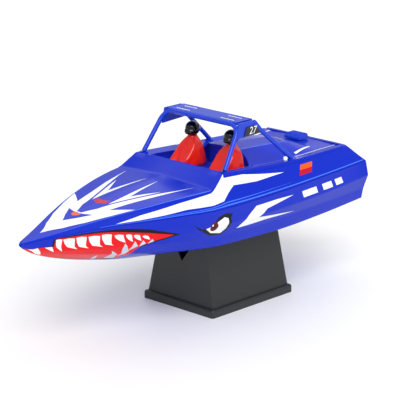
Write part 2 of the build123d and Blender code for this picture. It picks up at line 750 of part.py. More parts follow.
def transom_flange():
    """The plate that clamps the pump's outlet to the transom."""
    wide, high, thick = FLANGE_PLATE
    plate = Pos(0, 0, PUMP_Z) * Rot(0, -90, 0) * extrude(RectangleRounded(high, wide, 2.5), amount=thick)
    plate -= rod_x(-thick - 1, 1, 0, PUMP_Z, PUMP_BORE + PUMP_WALL + SNUG_GAP)
    for y, z in flange_screw_places():
        plate -= rod_x(-thick - 1, 1, y, z, SCREW_R + RUN_FIT)
    return plate


def flange_screws():
    """The flange's screws, heads aft."""
    thick = FLANGE_PLATE[2]
    return [screw_x(-thick, y, z, thick + WALL + 1.5, -1) for y, z in flange_screw_places()]


def intake_grate():
    """The weed grate in the pump's mouth: a frame and straight bars."""
    z0, z1 = 2.9, 3.9
    (top_x, top_z), (front_x, front_z) = duct_profile(0)[1:3]
    x0 = PUMP_LENGTH + 1.6
    x1 = front_x - (z1 - front_z) * (front_x - top_x) / (top_z - front_z) - SNUG_GAP
    half = DUCT_HALF_WIDTH - SNUG_GAP
    frame = block(x0, x1, -half, half, z0, z1)
    frame -= block(x0 + 1.2, x1 - 1.2, -half + 0.9, half - 0.9, z0 - 1, z1 + 1)
    for index in range(3):
        y = (index - 1) * half / 2
        frame += block(x0, x1, y - 0.35, y + 0.35, z0, z1)
    return frame


def bushing(x, length):
    """A plain bushing for the drive shaft."""
    bore = rod_x(x - 1, x + length + 1, 0, PUMP_Z, SHAFT_R + RUN_FIT)
    return rod_x(x, x + length, 0, PUMP_Z, BUSH_R) - bore


def drive_shaft():
    """The shaft from the rear bushing to the coupler."""
    return rod_x(-PIVOT_BEHIND + 2.0, COUPLER_MIDDLE - 0.3, 0, PUMP_Z, SHAFT_R)


def impeller():
    """The impeller: a hub bored for the shaft and three twisted blades."""
    x0 = IMPELLER_X - IMPELLER_LENGTH / 2
    hub = rod_x(x0, x0 + IMPELLER_LENGTH, 0, PUMP_Z, 2.6)
    tip = PUMP_BORE - LOOSE_FIT
    wheel = hub
    for blade in range(BLADES):
        turn = 360 / BLADES * blade
        faces = []
        for step in range(4):
            twist = turn + 26 * step
            spin = Pos(x0 + 0.6 + step * (IMPELLER_LENGTH - 1.2) / 3, 0, PUMP_Z) * Rot(twist, 0, 0)
            corners = [(0, -0.45, 1.8), (0, 0.45, 1.8), (0, 0.35, tip), (0, -0.35, tip)]
            faces.append(spin * make_face(Polyline(corners, close=True)))
        wheel += loft(faces)
    return wheel - rod_x(x0 - 1, x0 + IMPELLER_LENGTH + 1, 0, PUMP_Z, SHAFT_R)


def coupler():
    """The coupler between motor shaft and drive shaft, with holes for its grub screws."""
    x0 = COUPLER_MIDDLE - COUPLER_LENGTH / 2
    body = rod_x(x0, x0 + COUPLER_LENGTH, 0, PUMP_Z, COUPLER_R)
    body -= rod_x(x0 - 1, x0 + COUPLER_LENGTH + 1, 0, PUMP_Z, SHAFT_R)
    for x in grub_places():
        body -= rod_z(x, 0, PUMP_Z + SHAFT_R * 0.5, PUMP_Z + COUPLER_R + 1, SCREW_R)
    return body


def grub_places():
    """The two grub screws, one on each shaft."""
    return [COUPLER_MIDDLE - COUPLER_LENGTH / 4, COUPLER_MIDDLE + COUPLER_LENGTH / 4]


def grub_screws():
    """The coupler's grub screws."""
    top = PUMP_Z + COUPLER_R - 0.2
    return [rod_z(x, 0, PUMP_Z + SHAFT_R + 0.02, top, SCREW_R - 0.02) for x in grub_places()]


def motor_shaft():
    """The motor's output shaft."""
    return rod_x(COUPLER_MIDDLE + 0.3, MOTOR_FACE + MOTOR_LENGTH - 2, 0, PUMP_Z, SHAFT_R)


def motor_can():
    """The motor's steel can with its boss, shaft bore and screw holes."""
    can = rod_x(MOTOR_FACE, MOTOR_FACE + MOTOR_LENGTH - 6, 0, PUMP_Z, MOTOR_R)
    can += rod_x(MOTOR_FACE - MOUNT_THICK, MOTOR_FACE, 0, PUMP_Z, MOTOR_BOSS_R)
    can -= rod_x(MOTOR_FACE - MOUNT_THICK - 1, MOTOR_FACE + MOTOR_LENGTH, 0, PUMP_Z, SHAFT_R + RUN_FIT)
    for y in motor_screw_places():
        can -= rod_x(MOTOR_FACE - 1, MOTOR_FACE + 3.2, y, PUMP_Z, SCREW_R + 0.02)
    return can


def motor_endbell():
    """The motor's plastic end cap, with the two terminals."""
    x0 = MOTOR_FACE + MOTOR_LENGTH - 6 + 0.05
    cap = rod_x(x0, x0 + 4.5, 0, PUMP_Z, MOTOR_R - 0.4) + rod_x(x0 + 4.5, x0 + 6, 0, PUMP_Z, 4)
    cap -= rod_x(x0 - 1, x0 + 5, 0, PUMP_Z, SHAFT_R + RUN_FIT)
    for side in (-1, 1):
        cap += block(x0 + 4.5, x0 + 7.5, side * 8 - 1.4, side * 8 + 1.4, PUMP_Z - 0.3, PUMP_Z + 0.3)
    return cap


def motor_screw_places():
    """The motor's two screws, in y."""
    return (-8.0, 8.0)


def motor_mount(inside):
    """The motor's bulkhead, trimmed to the hull's inside and bored for boss and screws."""
    plate = block(MOTOR_FACE - MOUNT_THICK - 0.05, MOTOR_FACE - 0.05, -20, 20, -2, PUMP_Z + MOTOR_R)
    plate = plate & inside
    plate -= rod_x(MOTOR_FACE - 5, MOTOR_FACE + 1, 0, PUMP_Z, MOTOR_BOSS_R + RUN_FIT)
    for y in motor_screw_places():
        plate -= rod_x(MOTOR_FACE - 5, MOTOR_FACE + 1, y, PUMP_Z, SCREW_R + RUN_FIT)
    return plate


def motor_screws():
    """The two screws through the bulkhead into the motor."""
    x = MOTOR_FACE - MOUNT_THICK - 0.05
    return [screw_x(x, y, PUMP_Z, 4.5, -1) for y in motor_screw_places()]


def servo_case():
    """The servo: case, two mounting tabs and the output boss."""
    x0, x1 = SERVO_X - SERVO_LENGTH / 2, SERVO_X + SERVO_LENGTH / 2
    half = SERVO_WIDTH / 2
    case = block(x0, x1, SERVO_Y - half, SERVO_Y + half, SERVO_LOW, SERVO_TOP)
    case += block(x0 - SERVO_TAB, x1 + SERVO_TAB, SERVO_Y - half, SERVO_Y + half, TAB_Z, TAB_Z + 1.4)
    case += rod_z(SERVO_SHAFT_X, SERVO_Y, SERVO_TOP, SERVO_TOP + 0.8, 3.6)
    case += rod_z(SERVO_SHAFT_X, SERVO_Y, SERVO_TOP, ARM_Z - 0.3, 2.0)
    case -= rod_z(SERVO_SHAFT_X, SERVO_Y, ARM_Z - 4, ARM_Z, SCREW_R)
    for x in servo_screw_places():
        case -= rod_z(x, SERVO_Y, TAB_Z - 1, TAB_Z + 2, SCREW_R + RUN_FIT)
    return case


def servo_screw_places():
    """The two servo screws, in x."""
    reach = SERVO_LENGTH / 2 + SERVO_TAB / 2 + 0.2
    return (SERVO_X - reach, SERVO_X + reach)


def servo_mount(inside):
    """The two posts under the servo's tabs, standing on the hull's inside."""
    posts = []
    for x, end in zip(servo_screw_places(), (-1, 1)):
        inner = SERVO_X + end * (SERVO_LENGTH / 2 + SNUG_GAP)
        outer = SERVO_X + end * (SERVO_LENGTH / 2 + SERVO_TAB)
        post = block(min(inner, outer), max(inner, outer), SERVO_Y - 5.5, SERVO_Y + 5.5, -2, TAB_Z - 0.02)
        posts.append((post & inside) - rod_z(x, SERVO_Y, TAB_Z - 6, TAB_Z + 1, SCREW_R + 0.02))
    return posts


def servo_mount_screws():
    """The screws through the servo's tabs."""
    return [screw_z(x, SERVO_Y, TAB_Z + 1.42, 6) for x in servo_screw_places()]


def arm_plate(x, y, direction, hub_r):
    """A flat arm with a hub hole at its root and an oversize hole for the rod's leg at its end."""
    end, top = y + direction * ARM, ARM_Z + ARM_THICK
    arm = rod_z(x, y, ARM_Z, top, hub_r) + rod_z(x, end, ARM_Z, top, ARM_END_R)
    arm += block(x - ARM_HALF, x + ARM_HALF, min(y, end), max(y, end), ARM_Z, top)
    return arm - rod_z(x, end, ARM_Z - 1, top + 1, ROD_HOLE)


def servo_horn():
    """The servo's horn."""
    arm = arm_plate(SERVO_SHAFT_X, SERVO_Y, 1, 3.0)
    return arm - rod_z(SERVO_SHAFT_X, SERVO_Y, ARM_Z - 1, ARM_Z + 5, SCREW_R + RUN_FIT)


def horn_screw():
    """The screw that holds the horn on the servo's output."""
    top = ARM_Z + ARM_THICK
    shank = rod_z(SERVO_SHAFT_X, SERVO_Y, ARM_Z - 0.2, top, SCREW_R)
    return shank + rod_z(SERVO_SHAFT_X, SERVO_Y, top, top + HEAD_HIGH, HEAD_R)


def pushrod():
    """The wire from the horn to the nozzle's arm, with a leg down through each arm's hole."""
    x0, x1 = -PIVOT_BEHIND, SERVO_SHAFT_X
    points = [(x0, -ARM, ARM_Z - 0.6), (x0, -ARM, ROD_Z), (x1, -ARM, ROD_Z), (x1, -ARM, ARM_Z - 0.6)]
    path = FilletPolyline(*points, radius=1.0)
    plane = Plane(origin=path @ 0, z_dir=path % 0)
    return sweep(plane * Circle(ROD_R), path=path)


def pushrod_boot():
    """The rubber grommet that guides and seals the rod in the transom."""
    boot = rod_x(-0.9, WALL + 1.5, -ARM, ROD_Z, BOOT_R) + rod_x(-0.9, -0.1, -ARM, ROD_Z, BOOT_R + 1.0)
    return boot - rod_x(-3, 6, -ARM, ROD_Z, ROD_R + 0.08)


def steering_nozzle():
    """The swivelling nozzle with an ear above and below, and the arm that the rod moves."""
    pivot = -PIVOT_BEHIND
    front, rear = pivot - 0.5, pivot - NOZZLE_LENGTH
    wide = NOZZLE_BORE + PUMP_WALL
    place = Pos((front + rear) / 2, 0, PUMP_Z) * Rot(0, -90, 0)
    shell = place * Cone(wide, wide - NOZZLE_TAPER, front - rear)
    shell -= place * Cone(NOZZLE_BORE, NOZZLE_BORE - NOZZLE_TAPER, front - rear)
    top = PUMP_Z + wide
    for low, high in ((top - 1.2, ARM_Z + ARM_THICK), (PUMP_Z - wide - 0.8, PUMP_Z - wide + 1.2)):
        shell += rod_z(pivot, 0, low, high, EAR_R)
    shell -= rod_x(rear - 1, front + 4, 0, PUMP_Z, NOZZLE_BORE - NOZZLE_TAPER - 0.1)
    shell -= rod_x(pivot, front + 4, 0, PUMP_Z, NOZZLE_BORE)
    shell += arm_plate(pivot, 0, -1, EAR_R)
    return shell - rod_z(pivot, 0, 0, 40, PIVOT_R + RUN_FIT)


def nozzle_pivot_screws():
    """The upper and lower pivot screws, seated in the fixed outlet's wall."""
    wall_out = OUTLET_R + SPOUT_WALL
    pivot = -PIVOT_BEHIND
    upper = rod_z(pivot, 0, PUMP_Z + wall_out - 0.6, ARM_Z + ARM_THICK + 0.3, PIVOT_R)
    upper += rod_z(pivot, 0, ARM_Z + ARM_THICK + 0.3, ARM_Z + ARM_THICK + 1.2, HEAD_R)
    base = PUMP_Z - NOZZLE_BORE - PUMP_WALL - 0.8
    lower = rod_z(pivot, 0, base - 0.3, PUMP_Z - wall_out + 0.6, PIVOT_R)
    lower += rod_z(pivot, 0, base - 1.2, base - 0.3, HEAD_R)
    return upper, lower


def drain_plug():
    """The rubber drain plug with its pull tab."""
    stem = rod_x(-0.4, WALL + 2.2, PLUG_Y, PLUG_Z, PLUG_R) + rod_x(-1.6, -0.1, PLUG_Y, PLUG_Z, PLUG_R + 1.4)
    return stem + block(-3.6, -1.6, PLUG_Y - 0.6, PLUG_Y + 0.6, PLUG_Z - 2, PLUG_Z + 2)


def hatch_latch():
    """The sliding latch: a ribbed thumb block, a stem through the slot, and the tongue below."""
    long, wide, high = LATCH
    top = Pos(LATCH_X, 0, LATCH_REST + high / 2) * Box(long, wide, high)
    top = chamfer(top.edges().filter_by(Axis.Y).group_by(Axis.Z)[-1], 1.2)
    ridge, half = LATCH_REST + high, wide / 2 - 1.5
    for index in range(3):
        x = LATCH_X - 2 + index * 2
        top -= block(x - 0.35, x + 0.35, -half, half, ridge - 0.5, ridge + 1)
    stem = block(LATCH_X - STEM_HALF, LATCH_X + STEM_HALF, -STEM_HALF, STEM_HALF, TONGUE_Z, LATCH_REST + 0.5)
    tongue = block(REAR_CAP - TONGUE_HOLD, LATCH_X + 2, -TONGUE_HALF, TONGUE_HALF, TONGUE_Z - 1.1, TONGUE_Z)
    return top + stem + tongue


def speed_unit():
    """The combined speed controller and receiver, with a finned lid."""
    long, wide, high = SPEED_UNIT
    x, y, z = SPEED_UNIT_POS
    case = Pos(x, y, z + high / 2) * Box(long, wide, high)
    top, half = z + high, wide / 2 - 1.5
    for index in range(6):
        fin = x - long / 2 + 4 + index * (long - 8) / 5
        case -= block(fin - 0.7, fin + 0.7, y - half, y + half, top - 1.5, top + 1)
    return case


def speed_unit_pad(inside):
    """The foam pad between the speed unit and the hull's bottom."""
    long, wide, high = SPEED_UNIT
    x, y, z = SPEED_UNIT_POS
    pad = block(x - long / 2 + 3, x + long / 2 - 3, y - wide / 2, y + wide / 2, 0, z - 0.05)
    return pad & inside


def battery_tray(inside):
    """The tray across the hull under the battery, with a lip at each end."""
    long, wide, high = BATTERY
    reach = long / 2 + SNUG_GAP + TRAY_LIP
    x0, x1 = BATTERY_X - reach, BATTERY_X + reach
    tray = block(x0, x1, -wide / 2 - 3, wide / 2 + 3, TRAY_Z - TRAY_THICK, TRAY_Z)
    for x in (x0, x1 - TRAY_LIP):
        tray += block(x, x + TRAY_LIP, -wide / 2, wide / 2, TRAY_Z - 0.5, TRAY_Z + 4)
        tray += block(x, x + TRAY_LIP, -6, 6, 0, TRAY_Z)
    return tray & inside


def battery():
    """The shrink-wrapped battery pack."""
    long, wide, high = BATTERY
    pack = Pos(BATTERY_X, 0, TRAY_Z + 0.05 + high / 2) * Box(long, wide, high)
    return fillet(pack.edges().filter_by(Axis.X), 2.5)


def battery_strap():
    """The hook-and-loop strap over the battery, down to the tray."""
    long, wide, high = BATTERY
    gap = SNUG_GAP + 0.03
    half = wide / 2 + gap
    top = TRAY_Z + high + 0.05 + gap
    x0, x1 = BATTERY_X - STRAP_WIDTH / 2, BATTERY_X + STRAP_WIDTH / 2
    outer = block(x0, x1, -half - STRAP_THICK, half + STRAP_THICK, TRAY_Z + 0.05, top + STRAP_THICK)
    return outer - block(x0 - 1, x1 + 1, -half, half, TRAY_Z - 1, top)


def bow_float(inside):
    """The foam block that keeps a swamped boat afloat."""
    return block(BATTERY_X + BATTERY[0] / 2 + 6, station_x(NOSE_START) - 3, -30, 30, 0, 30) & inside


def aerial_tube(inside):
    """The upright tube that holds the aerial, standing on the hull's bottom behind the speed unit."""
    x, y = SPEED_UNIT_POS[0] - SPEED_UNIT[0] / 2 - 4, SPEED_UNIT_POS[1]
    tube_r, bore_r, top = 1.2, 0.7, 36.0
    return (rod_z(x, y, 0, top, tube_r) & inside) - rod_z(x, y, 11.5, top + 1, bore_r)


def lead(points, radius):
    """A wire along straight runs joined by tangent arcs."""
    path = FilletPolyline(*points, radius=radius)
    plane = Plane(origin=path @ 0, z_dir=path % 0)
    return sweep(plane * Circle(WIRE_R), path=path)


def motor_leads():
    """The two wires from the speed unit's front to the motor's terminals."""
    front = SPEED_UNIT_POS[0] + SPEED_UNIT[0] / 2 + 0.1
    turn = front + 2.5
    side = SPEED_UNIT_POS[1] - SPEED_UNIT[1] / 2 + 2.5
    end = MOTOR_FACE + MOTOR_LENGTH + 1.6
    leads = []
    for terminal, high in zip(motor_screw_places(), (25.0, 20.0)):
        route = [(front, side, high), (turn, side, high), (turn, terminal, high)]
        route += [(turn, terminal, PUMP_Z), (end, terminal, PUMP_Z)]
        leads.append(lead(route, 1.2))
    return leads


def plug_box():
    """The plug pair's rear lower corner and size, beside the battery."""
    front = SPEED_UNIT_POS[0] + SPEED_UNIT[0] / 2
    return (front + 4, SPEED_UNIT_POS[1] - 2.5, 22.0), (9.0, 5.0, 4.0)


def battery_plug():
    """The plug pair between battery and speed unit."""
    (x, y, z), (long, wide, high) = plug_box()
    return block(x, x + long, y, y + wide, z, z + high)


def battery_lead():
    """The wires from the speed unit to the plug, and from the plug to the battery's side."""
    (x, y, z), (long, wide, high) = plug_box()
    y, z = y + wide / 2, z + high / 2
    front = SPEED_UNIT_POS[0] + SPEED_UNIT[0] / 2
    short = rod_x(front + 0.1, x - 0.1, y, z, WIRE_R)
    out = x + long + 0.1
    loop = lead([(out, y, z), (out + 5, y, z), (out + 5, BATTERY[1] / 2 + 0.1, z)], 2.4)
    return short, loop


def stand(outer):
    """The display stand: a hollow tapered box on a flanged base, its top cut to the hull's bottom."""
    floor = -KEEL_HEIGHT
    middle = (STAND_FRONT + STAND_REAR) / 2
    base_long = STAND_FRONT - STAND_REAR
    plan = RectangleRounded(base_long, 2 * STAND_HALF_WIDTH, 1.5)
    base = Pos(middle, 0, floor) * extrude(plan, amount=BASE_HIGH)
    base = fillet(base.edges().group_by(Axis.Z)[-1], 1.4)
    rise = TOWER_TOP - floor - BASE_HIGH

    def tower(wall):
        faces = []
        for level in (0, 1):
            long = base_long - 2 * (BASE_INSET + wall + END_TAPER * rise * level)
            wide = 2 * (STAND_HALF_WIDTH - BASE_INSET - wall - SIDE_TAPER * rise * level)
            faces.append(Pos(middle, 0, floor + BASE_HIGH + rise * level) * Rectangle(long, wide))
        return loft(faces, ruled=True)

    long = base_long - 2 * (BASE_INSET + STAND_WALL)
    wide = 2 * (STAND_HALF_WIDTH - BASE_INSET - STAND_WALL)
    hollow = tower(STAND_WALL)
    hollow += Pos(middle, 0, floor - 1) * extrude(Rectangle(long, wide), amount=BASE_HIGH + 1)
    body = base + tower(0) - hollow
    notch = [(-NOTCH, 6), (0, -NOTCH * 0.75), (NOTCH, 6)]
    face = make_face(Polyline([(STAND_REAR - 5, y, z) for y, z in notch], close=True))
    body -= extrude(face, amount=base_long + 10, dir=(1, 0, 0))
    body -= Pos(0, 0, -CRADLE_GAP) * outer
    body -= block(STAND_REAR - 5, STAND_FRONT + 5, -HALF_BEAM, HALF_BEAM, CRADLE_TOP, 40)
    return max(body.solids(), key=lambda solid: solid.volume)


def main():
    """Builds every piece and writes it."""
    outer = hull_outer()
    inside = hull_inner(WALL + INSIDE_FIT, WALL)
    save("stand", stand(outer))
    save("hull", hull())
    save("deck", deck())
    save("hatch_seal", hatch_seal())
    shell = canopy()
    save("canopy", shell)
    save("hatch_latch", hatch_latch())
    save("cage_hoop", hoop())
    save("roof_panel", roof_panel())
    save("rear_stays", *rear_stays())
    save("cage_gussets", *gussets())
    save("number_plates", *number_plates())
    save("cage_feet", *cage_foot_pads(shell))
    for name, side in (("port", 1), ("starboard", -1)):
        save(f"{name}_driver_suit", driver_suit(side))
        save(f"{name}_driver_helmet", driver_helmet(side))
        save(f"{name}_helmet_visor", helmet_visor(side))
    save("jet_housing", jet_housing())
    save("stator_outlet", stator())
    save("transom_flange", transom_flange())
    save("flange_screws", *flange_screws())
    save("intake_grate", intake_grate())
    save("front_bushing", bushing(BUSH_X, 3.8))
    save("rear_bushing", bushing(-PIVOT_BEHIND + 1.4, 4.5))
    save("drive_shaft", drive_shaft())
    save("impeller", impeller())
    save("shaft_coupler", coupler())
    save("coupler_grub_screws", *grub_screws())
    save("motor_shaft", motor_shaft())
    save("motor_can", motor_can())
    save("motor_end_cap", motor_endbell())
    save("motor_mount", motor_mount(inside))
    save("motor_screws", *motor_screws())
    save("servo_case", servo_case())
    save("servo_mount", *servo_mount(inside))
    save("servo_mount_screws", *servo_mount_screws())
    save("servo_horn", servo_horn())
    save("horn_screw", horn_screw())
    save("pushrod", pushrod())
    save("pushrod_boot", pushrod_boot())
    save("steering_nozzle", steering_nozzle())
    save("nozzle_pivot_screws", *nozzle_pivot_screws())
    save("drain_plug", drain_plug())
    save("speed_unit", speed_unit())
    save("speed_unit_pad", speed_unit_pad(inside))
    save("battery", battery())
    save("battery_tray", battery_tray(inside))
    save("battery_strap", battery_strap())
    save("battery_lead", *battery_lead())
    save("battery_plug", battery_plug())
    save("motor_leads", *motor_leads())
    save("bow_float", bow_float(inside))
    save("aerial_tube", aerial_tube(inside))


main()
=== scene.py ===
"""A model jet boat on its display stand: painted shells, drivers, cage, stand and running gear."""

import json
import math

import bmesh
import bpy
from mathutils import Matrix, Vector, geometry, noise


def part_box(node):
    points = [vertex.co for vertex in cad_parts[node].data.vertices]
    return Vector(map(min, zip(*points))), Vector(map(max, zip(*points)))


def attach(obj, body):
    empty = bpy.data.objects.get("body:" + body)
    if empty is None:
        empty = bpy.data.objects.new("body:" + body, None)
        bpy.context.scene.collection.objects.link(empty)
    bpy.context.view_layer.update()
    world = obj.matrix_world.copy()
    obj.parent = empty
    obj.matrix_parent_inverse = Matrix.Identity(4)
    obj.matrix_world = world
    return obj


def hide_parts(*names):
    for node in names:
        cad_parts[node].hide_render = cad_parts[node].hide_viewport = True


bl_info = {
    "name": "Jet Boat Model",
    "version": (1, 0, 0),
    "blender": (4, 5, 0),
    "location": "View3D > Sidebar > Jet Boat",
    "description": "Builds the painted shells, drivers, fittings and stage of a model jet boat",
    "category": "Object",
}

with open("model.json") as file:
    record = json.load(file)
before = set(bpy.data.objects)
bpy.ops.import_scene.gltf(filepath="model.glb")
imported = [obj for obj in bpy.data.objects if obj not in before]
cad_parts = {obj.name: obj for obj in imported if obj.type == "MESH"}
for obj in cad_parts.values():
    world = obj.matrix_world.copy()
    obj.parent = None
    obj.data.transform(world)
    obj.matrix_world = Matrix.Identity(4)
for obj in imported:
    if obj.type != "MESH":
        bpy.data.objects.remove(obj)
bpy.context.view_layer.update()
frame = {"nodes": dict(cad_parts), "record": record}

MM = 0.001
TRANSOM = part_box("hull")[0].x
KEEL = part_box("hull")[0].z
HULL_LENGTH = round((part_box("hull")[1].x - TRANSOM) / MM, 1)
HALF_BEAM = 38.0

# Hull lines: station in percent of the length, then the keel's height, and for bilge, chine, beam and
# rail the half-breadth in percent of the half-beam and the height, in millimetres above the keel.
OFFSETS = [
    (0, 0.0, 85.3, 12.0, 88.7, 18.1, 97.6, 26.6, 92.6, 34.5),
    (15, 0.0, 84.2, 9.4, 89.5, 16.9, 98.6, 23.9, 96.6, 33.2),
    (30, 0.0, 84.2, 8.2, 89.4, 15.8, 98.8, 22.6, 98.9, 32.1),
    (42, 0.0, 83.0, 8.6, 88.9, 15.2, 97.8, 22.3, 99.5, 31.5),
    (50.5, 0.3, 80.7, 9.1, 86.6, 15.5, 95.3, 22.4, 98.2, 31.3),
    (57, 1.3, 73.4, 9.8, 82.6, 16.1, 89.9, 22.2, 95.2, 31.7),
    (64, 3.4, 60.3, 11.0, 73.1, 17.2, 79.6, 22.2, 85.6, 32.1),
    (71, 5.7, 46.2, 12.8, 59.5, 18.3, 63.1, 21.7, 71.2, 32.0),
    (78, 9.1, 32.0, 14.9, 42.1, 19.1, 43.8, 21.6, 54.7, 31.9),
    (85, 13.0, 19.3, 17.4, 27.1, 20.4, 28.2, 22.5, 38.7, 31.5),
    (91, 17.2, 10.6, 20.1, 16.2, 22.1, 18.3, 24.4, 24.3, 30.5),
    (96, 21.8, 5.1, 23.4, 7.9, 24.5, 9.4, 26.3, 12.2, 29.5),
    (100, 27.3, 1.1, 27.5, 1.6, 27.8, 2.1, 28.1, 2.6, 28.6),
]
# Deck edge ahead of the cockpit, and the gunwale beside it: station, half-breadth, height.
DECK_EDGE = [
    (55, 92.1, 42.5),
    (57, 90.2, 42.3),
    (64, 80.8, 41.3),
    (71, 68.8, 39.7),
    (78, 54.2, 37.7),
    (85, 38.2, 35.1),
    (91, 23.6, 32.5),
    (96, 11.3, 30.5),
    (100, 2.4, 29.0),
]
GUNWALE = [
    (0, 75.0, 44.7),
    (5, 77.6, 45.0),
    (15, 83.6, 45.7),
    (26, 88.2, 46.3),
    (38, 88.0, 47.7),
    (50.5, 86.1, 49.4),
]
# Canopy top aft of the cockpit: station, valley half-breadth and height, cowl crease, cowl crown.
COWL = [
    (6.2, 60.0, 44.6, 28.0, 45.0, 45.0),
    (11.4, 59.0, 44.3, 28.5, 45.1, 45.2),
    (14, 58.0, 43.9, 29.0, 46.8, 47.2),
    (18, 57.0, 43.4, 29.0, 49.2, 50.0),
    (25, 55.0, 43.0, 29.0, 50.6, 51.6),
    (37, 55.0, 44.4, 29.0, 52.2, 53.0),
]
RIDGE = HULL_LENGTH * GUNWALE[-1][0] / 100
RAMP_FOOT = HULL_LENGTH * DECK_EDGE[0][0] / 100
CROWN = 0.05
TRANSOM_RAKE = 11.5
REAR_CAP = 14.0
WALL = 1.2
NOSE_ROUND = 3.0
NOSE_HEIGHT = 28.3
NOSE_END = HULL_LENGTH - 0.1  # the shells stop just short of the point
BEND = 0.06  # share of a panel, each side of a crease, that the crease's rounding takes
LIP = 0.12  # how far the canopy's edge turns down the side, as a share of the side panel
SIDE_TOP = 0.14  # where the deck's side panel starts below the gunwale
FLANGE_WIDTH = 4.5
FLANGE_FALL = 0.26
WELL_REAR, WELL_FRONT = 84.0, 111.0
WELL_HALF = 26.5
WELL_FLOOR = 41.5
SEAT = (88.5, 14.5, 8.5)  # middle and radius of the recess behind each driver
DRIVER_X, DRIVER_Y = 90.0, 14.5
HELMET_HEIGHT = 61.2
SCREW_Y = 9.0  # the jet flange's screws, each side of the centre
SCREW_HEIGHTS = (8.5, 25.5)
SPREAD = 9.0  # millimetres that one panel counts for while a sheet is cut into triangles
EDGE_STEP = 2.6
ROW_STEP = 3.0

# Paint outlines on the port side. On the foredeck a point is its distance from the transom and its
# share of the way from the centre to the deck's edge; on a side it is the distance and the girth,
# which counts panels from the keel on the hull (4 is the rail) and down from the gunwale on the deck.
BOW_FLASH = [
    (216, 0), (206, 0.6), (196, 0.84), (183, 0.93), (171, 0.96), (179, 0.57), (166, 0.6), (152, 0.66),
    (130, 0.73), (139, 0.68), (158, 0.5), (176, 0.32), (181.5, 0.28), (189, 0.1), (189, 0),
]
BOW_CHEVRON = [(200.5, 0), (194.6, 0.3), (187.5, 0.52), (189.8, 0.15), (189.8, 0)]
BOW_SPIKE = [
    (174, 0.27), (156, 0.19), (135.5, 0.12), (150, 0.22), (160.5, 0.31), (146, 0.55), (158, 0.45),
    (171.5, 0.31),
]
ORANGE_BLOCK = [(193.6, 0), (190.6, 0), (189.2, 0.16), (192.2, 0.16)]
RED_BLOCK = [(176.4, 0), (172.4, 0), (170.6, 0.19), (174.6, 0.19)]
SIDE_FLASH = [
    (182, 1.8), (169, 1.46), (147.5, 1.25), (127.5, 1.13), (116.2, 1.03), (107, 1.1), (89, 1.24), (70, 1.37),
    (92, 1.44), (109.8, 1.4), (113, 1.52), (118.7, 1.76), (143, 1.68), (156, 1.76), (170, 1.81),
]
LIGHTNING = [
    (64.5, 3.58), (78.4, 3.64), (94.8, 3.64), (100.2, 3.2), (107.2, 2.36), (85.7, 2.41), (60.8, 2.25),
    (91.7, 2.82), (85.7, 3.27),
]
BROW = [
    (138.8, 3.37), (132.7, 3.02), (127.8, 3.0), (122.1, 3.6), (117.9, 3.72), (112.5, 3.6), (113.9, 3.33),
    (112.7, 3.06), (114.4, 2.5), (118.7, 2.12), (127, 2.3), (134.3, 3.0),
]
EYE_WHITE = [
    (130.3, 2.99), (126.2, 2.49), (119.1, 2.28), (115.8, 2.62), (114.9, 3.11), (115.7, 3.36), (118.5, 3.49),
    (122.2, 3.31), (126, 3.09),
]
MOUTH_EDGE = [
    (228.6, 0), (226, 1.75), (218.5, 2.9), (213.2, 3.1), (213.2, 3.88), (201, 3.88), (190, 3.86), (180, 3.82),
    (172, 3.72), (163, 3.56), (146, 3.0), (152, 2.72), (160.5, 2.35), (166.8, 1.75),
    (169.8, 0.87), (169, 0.12),
    (200, 0.03), (228, 0),
]
MOUTH = [
    (228.2, 0.05), (225.6, 1.58), (218.5, 2.78), (212.2, 3.03), (212.2, 3.8), (201.7, 3.78), (190.4, 3.76),
    (183.7, 3.71), (176.5, 3.6), (163, 3.36), (149.5, 3.03), (160.3, 2.58), (166, 1.95), (168.4, 0.9),
    (168, 0.3), (184, 0.22), (207, 0.1), (216, 0.05),
]
FRONT_TEETH = [
    [(225.5, 1.44), (220.6, 2.6), (216.8, 0.3), (220, 0.25)],
    [(217, 2.8), (213.1, 2.98), (211.2, 1.55)],
]
# Upper teeth: forward edge, width, top and tip.
UPPER_TEETH = [
    (211.9, 3.2, 3.72, 1.8),
    (208.1, 6.1, 3.66, 2.3),
    (201.3, 5.5, 3.65, 2.35),
    (194.9, 6.2, 3.6, 2.5),
    (188, 5.3, 3.6, 2.6),
    (181.1, 4.7, 3.48, 2.95),
    (175.1, 3.1, 3.42, 2.95),
    (171, 3.2, 3.34, 2.95),
    (166.4, 3.1, 3.24, 2.95),
]
LOWER_TEETH = [
    [(184.3, 0.24), (181.1, 0.24), (184.6, 0.81)],
    [(176.4, 0.36), (170.2, 0.34), (179.4, 1.52)],
    [(172.4, 0.66), (170, 1.34), (172.4, 1.9), (174.2, 2.77), (174.8, 1.9)],
    [(170.8, 1.4), (167.3, 1.95), (169.5, 3.0)],
    [(166.8, 1.9), (163.5, 2.3), (165.4, 2.97)],
    [(162.7, 2.25), (159.5, 2.57), (160.8, 2.97)],
]
# Plain blocks in place of lettering: on the hull's upper side, and on the deck's side panel.
STERN_BLOCKS = [(44, 12), (31, 8), (22, 6)]
SIDE_BLOCK_UPPER = [(56, 1.26), (45.5, 1.26), (46.5, 1.46), (57, 1.46)]
SIDE_BLOCK_LOWER = [(57, 1.46), (46.5, 1.46), (47.5, 1.66), (58, 1.66)]
# White lines on the canopy, from the transom and from the centre, in millimetres.
CANOPY_LINES = [
    [(46, 21.6), (47.5, 23.2), (15.4, 24.9), (14.8, 24.2)],
    [(44, 19.2), (27, 15.9), (28, 17.1), (43.5, 20.4)],
    [(53, 19.6), (48.5, 20.2), (55.4, 26.6), (59, 26.6)],
]


def rgb(red, green, blue):
    """A linear colour from 8-bit display values."""
    def linear(value):
        value /= 255
        return value / 12.92 if value <= 0.04045 else ((value + 0.055) / 1.055) ** 2.4

    return linear(red), linear(green), linear(blue), 1.0


# ---------------------------------------------------------------- lines of the boat

